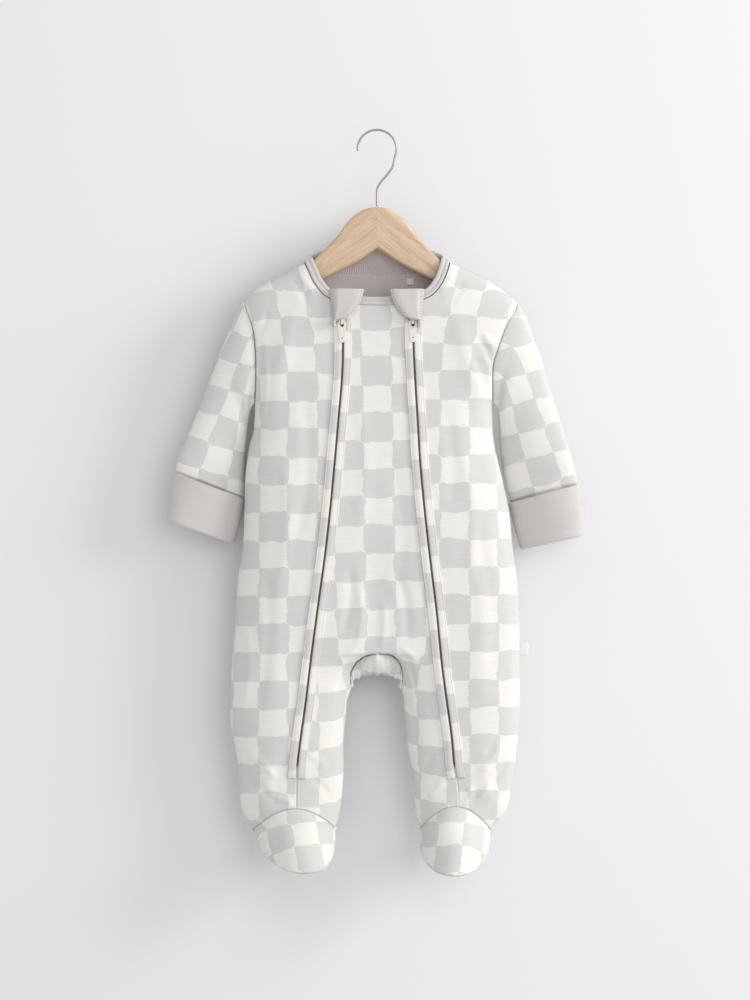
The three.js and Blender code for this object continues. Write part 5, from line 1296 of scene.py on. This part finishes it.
# The printed check, a mask: brushed blocks with rounded corners, a little larger than their cells
def makeCheckGroup():
    group, start, end = newGroup("brushedCheck", [("Cells", "NodeSocketVector")],
                                 [("Mask", "NodeSocketFloat"), ("Strokes", "NodeSocketFloat")])
    cells = start.outputs["Cells"]
    slow = noise(group, cells, 1.7, 1.0)
    fast = noise(group, cells, 9.0, 2.0, 0.6)
    shift = node(group, "ShaderNodeVectorMath", {0: slow.outputs["Color"], 1: (0.5, 0.5, 0.5)},
                 operation="SUBTRACT").outputs[0]
    fine = node(group, "ShaderNodeVectorMath", {0: fast.outputs["Color"], 1: (0.5, 0.5, 0.5)},
                operation="SUBTRACT").outputs[0]
    moved = node(group, "ShaderNodeVectorMath", {0: shift, 1: (0.22, 0.22, 0), 2: cells},
                 operation="MULTIPLY_ADD").outputs[0]
    moved = node(group, "ShaderNodeVectorMath", {0: fine, 1: (0.05, 0.08, 0), 2: moved},
                 operation="MULTIPLY_ADD").outputs[0]
    split = node(group, "ShaderNodeSeparateXYZ", {0: moved})
    local, index = [], []
    for axis in (0, 1):
        whole = calc(group, "ROUND", split.outputs[axis])
        index.append(whole)
        local.append(calc(group, "ABSOLUTE", calc(group, "SUBTRACT", split.outputs[axis], whole)))
    odd = calc(group, "FLOORED_MODULO", calc(group, "ADD", *index), 2.0)
    power = 11.0
    own = [calc(group, "POWER", calc(group, "MULTIPLY", a, 2.0), power) for a in local]
    beside = [calc(group, "POWER", calc(group, "MULTIPLY", calc(group, "SUBTRACT", 1.0, a), 2.0),
                   power) for a in local]
    ownSum = calc(group, "ADD", *own)
    acrossSum = calc(group, "ADD", beside[0], own[1])
    downSum = calc(group, "ADD", own[0], beside[1])
    near = calc(group, "MINIMUM", acrossSum, downSum)
    size = node(group, "ShaderNodeMix", {0: odd, 2: ownSum, 3: near}).outputs[0]
    mask = softStep(group, size, 2.15, 1.5)
    group.links.new(mask, end.inputs["Mask"])
    stretched = node(group, "ShaderNodeVectorMath", {0: cells, 1: (0.7, 9.0, 1.0)},
                     operation="MULTIPLY").outputs[0]
    streak = noise(group, stretched, 2.4, 3.0, 0.6)
    group.links.new(streak.outputs[0], end.inputs["Strokes"])
    return group


# Fine jersey: rows of small loops, as a height, from a cloth position in millimetres
def makeKnitGroup():
    group, start, end = newGroup("jerseyLoops", [("Place", "NodeSocketVector")],
                                 [("Height", "NodeSocketFloat"), ("Slub", "NodeSocketFloat")])
    place = start.outputs["Place"]
    split = node(group, "ShaderNodeSeparateXYZ", {0: place})
    wales = calc(group, "SINE", calc(group, "MULTIPLY", split.outputs[0], 2 * math.pi / 0.62))
    lean = calc(group, "MULTIPLY", calc(group, "ABSOLUTE", wales), 0.9)
    rowsOf = calc(group, "SINE", calc(group, "ADD", calc(
        group, "MULTIPLY", split.outputs[1], 2 * math.pi / 0.5), lean))
    loops = calc(group, "MULTIPLY", calc(group, "ADD", calc(group, "ABSOLUTE", wales), rowsOf), 0.5)
    group.links.new(loops, end.inputs["Height"])
    stretched = node(group, "ShaderNodeVectorMath", {0: place, 1: (0.05, 1.3, 1.0)},
                     operation="MULTIPLY").outputs[0]
    group.links.new(noise(group, stretched, 0.9, 2.0).outputs[0], end.inputs["Slub"])
    return group


checkGroup, knitGroup = makeCheckGroup(), makeKnitGroup()
colours = {
    "cream": sRgb(240, 238, 231),
    "grey": sRgb(217, 216, 213),
    "trim": sRgb(211, 207, 204),
    "inner": sRgb(212, 201, 199),
    "tape": sRgb(232, 226, 208),
    "coil": sRgb(132, 102, 78),
    "enamel": sRgb(234, 231, 221),
    "woodLight": sRgb(224, 199, 172),
    "woodDark": sRgb(190, 150, 114),
    "steel": sRgb(172, 172, 171),
    "thread": sRgb(226, 222, 214),
    "trimThread": sRgb(168, 162, 158),
    "label": sRgb(238, 236, 231),
    "wall": sRgb(240, 240, 242),
}


def newMaterial(name, roughness, metallic=0.0):
    material = bpy.data.materials.new(name)
    material.use_nodes = True
    tree = material.node_tree
    shader = tree.nodes["Principled BSDF"]
    shader.inputs["Roughness"].default_value = roughness
    shader.inputs["Metallic"].default_value = metallic
    return material, tree, shader


def addCloth(tree, shader, colour, knitPlace, strength=0.35, sheen=0.15):
    knit = node(tree, "ShaderNodeGroup", {}, node_tree=knitGroup)
    tree.links.new(knitPlace, knit.inputs["Place"])
    slub = node(tree, "ShaderNodeMapRange", {0: knit.outputs["Slub"], 1: 0.3, 2: 0.7, 3: 0.965,
                                             4: 1.02}).outputs[0]
    shade = mixColour(tree, 1.0, colour, slub, "MULTIPLY")
    tree.links.new(shade, shader.inputs["Base Color"])
    bump = node(tree, "ShaderNodeBump", {"Strength": strength, "Distance": 0.00012,
                                         "Height": knit.outputs["Height"]})
    broad = node(tree, "ShaderNodeTexCoord")
    waves = noise(tree, broad.outputs["Object"], 55.0, 2.0, 0.45)
    soft = node(tree, "ShaderNodeBump", {"Strength": 0.5, "Distance": 0.0011,
                                         "Height": waves.outputs[0],
                                         "Normal": bump.outputs[0]})
    tree.links.new(soft.outputs[0], shader.inputs["Normal"])
    shader.inputs["Sheen Weight"].default_value = sheen
    shader.inputs["Sheen Roughness"].default_value = 0.5
    shader.inputs["Specular IOR Level"].default_value = 0.2


def makePrinted(name, shade=1.0):
    material, tree, shader = newMaterial(name, 0.92)
    uv = node(tree, "ShaderNodeUVMap", uv_map="cloth").outputs[0]
    print_ = node(tree, "ShaderNodeGroup", node_tree=checkGroup)
    tree.links.new(uv, print_.inputs["Cells"])
    inked = calc(tree, "MULTIPLY", print_.outputs["Mask"], node(
        tree, "ShaderNodeMapRange", {0: print_.outputs["Strokes"], 1: 0.3, 2: 0.7, 3: 0.9,
                                     4: 1.08}).outputs[0])
    colour = mixColour(tree, inked, colours["cream"], colours["grey"])
    place = node(tree, "ShaderNodeVectorMath", {0: uv, 1: (check["wide"], check["tall"], 0)},
                 operation="MULTIPLY").outputs[0]
    addCloth(tree, shader, colour, place)
    return material


def makePlain(name, colour, scale=(1.0, 1.0, 0.0), strength=0.35):
    material, tree, shader = newMaterial(name, 0.92)
    uv = node(tree, "ShaderNodeUVMap", uv_map="cloth").outputs[0]
    place = node(tree, "ShaderNodeVectorMath", {0: uv, 1: scale}, operation="MULTIPLY").outputs[0]
    tint = node(tree, "ShaderNodeRGB")
    tint.outputs[0].default_value = colour
    addCloth(tree, shader, tint.outputs[0], place, strength)
    return material


def makeFacing():
    # plain jersey, with a ribbed neck tape across it between two rows of cover stitch
    material, tree, shader = newMaterial("neckFacing", 0.92)
    uv = node(tree, "ShaderNodeUVMap", uv_map="cloth").outputs[0]
    split = node(tree, "ShaderNodeSeparateXYZ", {0: uv})
    fromMiddle = calc(tree, "MULTIPLY", calc(tree, "SUBTRACT", split.outputs[0], 55.0), 0.04)
    fall = calc(tree, "ADD", split.outputs[1], calc(tree, "MULTIPLY", fromMiddle, fromMiddle))
    inBand = calc(tree, "MULTIPLY", softStep(tree, fall, 16.7, 17.0), softStep(tree, fall, 24.4, 24.0))
    ribs = calc(tree, "SINE", calc(tree, "MULTIPLY", split.outputs[0], 2 * math.pi / 2.1))
    ribbed = calc(tree, "MULTIPLY", inBand, softStep(tree, ribs, -0.7, 0.8))
    dashes = calc(tree, "MULTIPLY", softStep(tree, ribs, 0.1, 0.5), calc(
        tree, "MULTIPLY", softStep(tree, fall, 23.7, 24.0), softStep(tree, fall, 25.4, 25.1)))
    colour = mixColour(tree, ribbed, colours["inner"], sRgb(226, 219, 215))
    colour = mixColour(tree, dashes, colour, sRgb(240, 236, 232))
    place = node(tree, "ShaderNodeVectorMath", {0: uv, 1: (1, 1, 0)}, operation="MULTIPLY")
    addCloth(tree, shader, colour, place.outputs[0])
    bump = node(tree, "ShaderNodeBump", {"Strength": 0.8, "Distance": 0.0006, "Height": ribbed})
    tree.links.new(bump.outputs[0], tree.nodes["Bump"].inputs["Normal"])
    return material


def makeFlat(name, colour, roughness, metallic=0.0, wear=0.04):
    material, tree, shader = newMaterial(name, roughness, metallic)
    place = node(tree, "ShaderNodeTexCoord").outputs["Object"]
    speck = noise(tree, place, 900.0, 2.0)
    shade = node(tree, "ShaderNodeMapRange", {0: speck.outputs[0], 1: 0.3, 2: 0.7, 3: 1 - wear,
                                              4: 1 + wear / 2}).outputs[0]
    tree.links.new(mixColour(tree, 1.0, colour, shade, "MULTIPLY"), shader.inputs["Base Color"])
    rough = node(tree, "ShaderNodeMapRange", {0: speck.outputs[0], 1: 0.3, 2: 0.7,
                                              3: roughness * 0.9, 4: roughness * 1.1}).outputs[0]
    tree.links.new(rough, shader.inputs["Roughness"])
    return material


def makeWood():
    # grain runs down each arm, mirrored at the mitre
    material, tree, shader = newMaterial("beech", 0.5)
    place = node(tree, "ShaderNodeTexCoord").outputs["Object"]
    split = node(tree, "ShaderNodeSeparateXYZ", {0: place})
    away = calc(tree, "ABSOLUTE", split.outputs[0])
    lean = math.radians(36)
    alongArm = calc(tree, "SUBTRACT", calc(tree, "MULTIPLY", away, math.cos(lean)),
                    calc(tree, "MULTIPLY", split.outputs[2], math.sin(lean)))
    acrossArm = calc(tree, "ADD", calc(tree, "MULTIPLY", away, math.sin(lean)),
                     calc(tree, "MULTIPLY", split.outputs[2], math.cos(lean)))
    side = calc(tree, "MULTIPLY", calc(tree, "SIGN", split.outputs[0]), 0.7)
    grainPlace = node(tree, "ShaderNodeCombineXYZ", {
        0: calc(tree, "ADD", calc(tree, "MULTIPLY", alongArm, 9.0), side),
        1: calc(tree, "MULTIPLY", acrossArm, 170.0),
        2: calc(tree, "MULTIPLY", split.outputs[1], 60.0)}).outputs[0]
    broad = noise(tree, grainPlace, 0.75, 3.0, 0.55, 0.6)
    finePlace = node(tree, "ShaderNodeVectorMath", {0: grainPlace, 1: (5.0, 5.5, 3.0)},
                     operation="MULTIPLY").outputs[0]
    fine = noise(tree, finePlace, 1.0, 3.0, 0.65)
    pores = softStep(tree, fine.outputs[0], 0.5, 0.62)
    tone = calc(tree, "ADD", calc(tree, "MULTIPLY", softStep(tree, broad.outputs[0], 0.35, 0.65),
                                  0.38),
                calc(tree, "MULTIPLY", pores, 0.42))
    colour = mixColour(tree, tone, colours["woodLight"], colours["woodDark"])
    joint = softStep(tree, away, 0.0005, 0.00015)
    colour = mixColour(tree, calc(tree, "MULTIPLY", joint, 0.6), colour, sRgb(206, 184, 166))
    tree.links.new(colour, shader.inputs["Base Color"])
    shader.inputs["Specular IOR Level"].default_value = 0.35
    bump = node(tree, "ShaderNodeBump", {"Strength": 0.15, "Distance": 0.0003,
                                         "Height": fine.outputs[0]})
    tree.links.new(bump.outputs[0], shader.inputs["Normal"])
    return material


materials = {
    "printed": makePrinted("printedJersey"),
    "plain": makePlain("plainJersey", colours["trim"]),
    "binding": makePlain("bindingJersey", colours["trim"], (1.0, 1.0, 0.0)),
    "facing": makeFacing(),
    "tape": makeFlat("zipTape", colours["tape"], 0.85),
    "coil": makeFlat("zipCoil", colours["coil"], 0.55),
    "enamel": makeFlat("creamEnamel", colours["enamel"], 0.35, 0.0, 0.015),
    "label": makeFlat("wovenTab", colours["label"], 0.85),
    "wood": makeWood(),
    "steel": makeFlat("hookWire", colours["steel"], 0.42, 1.0, 0.02),
    "thread": makeFlat("thread", colours["thread"], 0.8),
    "trimThread": makeFlat("trimThread", colours["trimThread"], 0.8),
}
print("materials made")

# What each piece stands for: CAD nodes, material, slot, and for cloth its cut
cloth = {  # flat size and its true area as a share of the rectangle
    "front_left": ((0.125, 0.52), 0.62), "front_right": ((0.125, 0.52), 0.62),
    "front_centre": ((0.17, 0.49), 0.66), "back": ((0.30, 0.55), 0.72),
    "sleeve_left": ((0.17, 0.17), 0.72), "sleeve_right": ((0.17, 0.17), 0.72),
    "cuff_left": ((0.15, 0.10), 1.0), "cuff_right": ((0.15, 0.10), 1.0),
    "foot_upper_left": ((0.10, 0.075), 0.7), "foot_upper_right": ((0.10, 0.075), 0.7),
    "foot_sole_left": ((0.085, 0.085), 0.75), "foot_sole_right": ((0.085, 0.085), 0.75),
    "crotch_gusset": ((0.075, 0.04), 0.75),
    "neck_binding": ((0.24, 0.0115), 1.0), "centre_binding": ((0.062, 0.0115), 1.0),
    "back_facing": ((0.125, 0.05), 0.8),
    "zip_guard_left": ((0.035, 0.04), 0.8), "zip_guard_right": ((0.035, 0.04), 0.8),
    "zip_welt_left": ((0.02, 0.41), 1.0), "zip_welt_right": ((0.02, 0.41), 1.0),
    "zip_tape_left": ((0.014, 0.43), 1.0), "zip_tape_right": ((0.014, 0.43), 1.0),
    "side_label": ((0.011, 0.01), 1.0),
}
standsFor = {"back": ["back", "back_lower", "back_leg_left", "back_leg_right"]}
finishes = {
    "printed": ("front_left", "front_right", "front_centre", "back", "sleeve_left",
                "sleeve_right", "foot_upper_left", "foot_upper_right", "foot_sole_left",
                "foot_sole_right", "crotch_gusset", "zip_welt_left", "zip_welt_right"),
    "plain": ("cuff_left", "cuff_right", "zip_guard_left", "zip_guard_right"),
    "binding": ("neck_binding", "centre_binding"),
    "facing": ("back_facing",),
    "tape": ("zip_tape_left", "zip_tape_right"),
    "coil": ("zipCoil_left", "zipCoil_right"),
    "label": ("neck_tab", "side_label"),
    "wood": ("hanger_wood",),
    "steel": ("hanger_hook",),
    "thread": ("weltStitches_left", "weltStitches_right"),
    "trimThread": ("guardStitches_left", "guardStitches_right"),
}
for finishName, names in finishes.items():
    for name in names:
        piece = pieces[name]
        piece.data.materials.clear()
        piece.data.materials.append(materials[finishName])
        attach(piece, "suit")
        stands = [node_ for node_ in standsFor.get(name, [name]) if node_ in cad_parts]
        if stands:
            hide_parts(*stands)
for hand in ("left", "right"):
    for name in ("zip_slider_", "pull_tab_"):
        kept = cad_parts[name + hand]
        kept.data.materials.clear()
        kept.data.materials.append(materials["enamel"])

# Stage: a plain pale wall close behind, lit softly from the right and the front
stage = {
    "wallBehind": 38.0,
    "wallHalf": 2.4,
    "camera": (-1.8, -335.8),
    "distance": 5055.0,
    "lens": 200.0,
}
side = stage["wallHalf"] / mm
corners = [(-side, stage["wallBehind"], -side), (side, stage["wallBehind"], -side),
           (side, stage["wallBehind"], side), (-side, stage["wallBehind"], side)]
wall = makeMesh("backdrop", corners, [(0, 1, 2, 3)], smooth=False)
wallMaterial, tree, shader = newMaterial("backdropPaint", 0.95)
shader.inputs["Base Color"].default_value = colours["wall"]
shader.inputs["Specular IOR Level"].default_value = 0.1
wall.data.materials.append(wallMaterial)


def addLight(name, kind, at, towards, energy, size=1.0, colour=(1, 1, 1)):
    light = bpy.data.lights.new(name, kind)
    light.energy = energy
    light.color = colour
    if kind == "AREA":
        light.shape = "DISK"
        light.size = size
    else:
        light.angle = size
    lamp = bpy.data.objects.new(name, light)
    scene.collection.objects.link(lamp)
    lamp.location = at
    way = np.array(towards, float) - np.array(at, float)
    flatWay = math.hypot(way[0], way[1])
    lamp.rotation_euler = (math.atan2(flatWay, -way[2]), 0, math.atan2(-way[0], way[1]))
    return lamp


addLight("key", "AREA", (3.0, -1.2, 0.7), (0, 0, -0.35), 64, 1.6, (1.0, 0.99, 0.975))
addLight("fill", "AREA", (1.3, -3.2, 0.3), (0, 0, -0.35), 22, 2.2, (0.99, 0.995, 1.0))
world = bpy.data.worlds.new("soft")
scene.world = world
world.use_nodes = True
world.node_tree.nodes["Background"].inputs[0].default_value = (0.985, 0.988, 1.0, 1)
world.node_tree.nodes["Background"].inputs[1].default_value = 0.645
scene.view_settings.view_transform = "Standard"

camera = bpy.data.cameras.new("camera")
camera.lens = stage["lens"]
camera.sensor_fit = "AUTO"
camera.sensor_width = 36
cameraObject = bpy.data.objects.new("camera", camera)
scene.collection.objects.link(cameraObject)
cameraObject.location = (stage["camera"][0] * mm, -stage["distance"] * mm, stage["camera"][1] * mm)
cameraObject.rotation_euler = (math.pi / 2, 0, 0)
scene.camera = cameraObject
print("stage made")
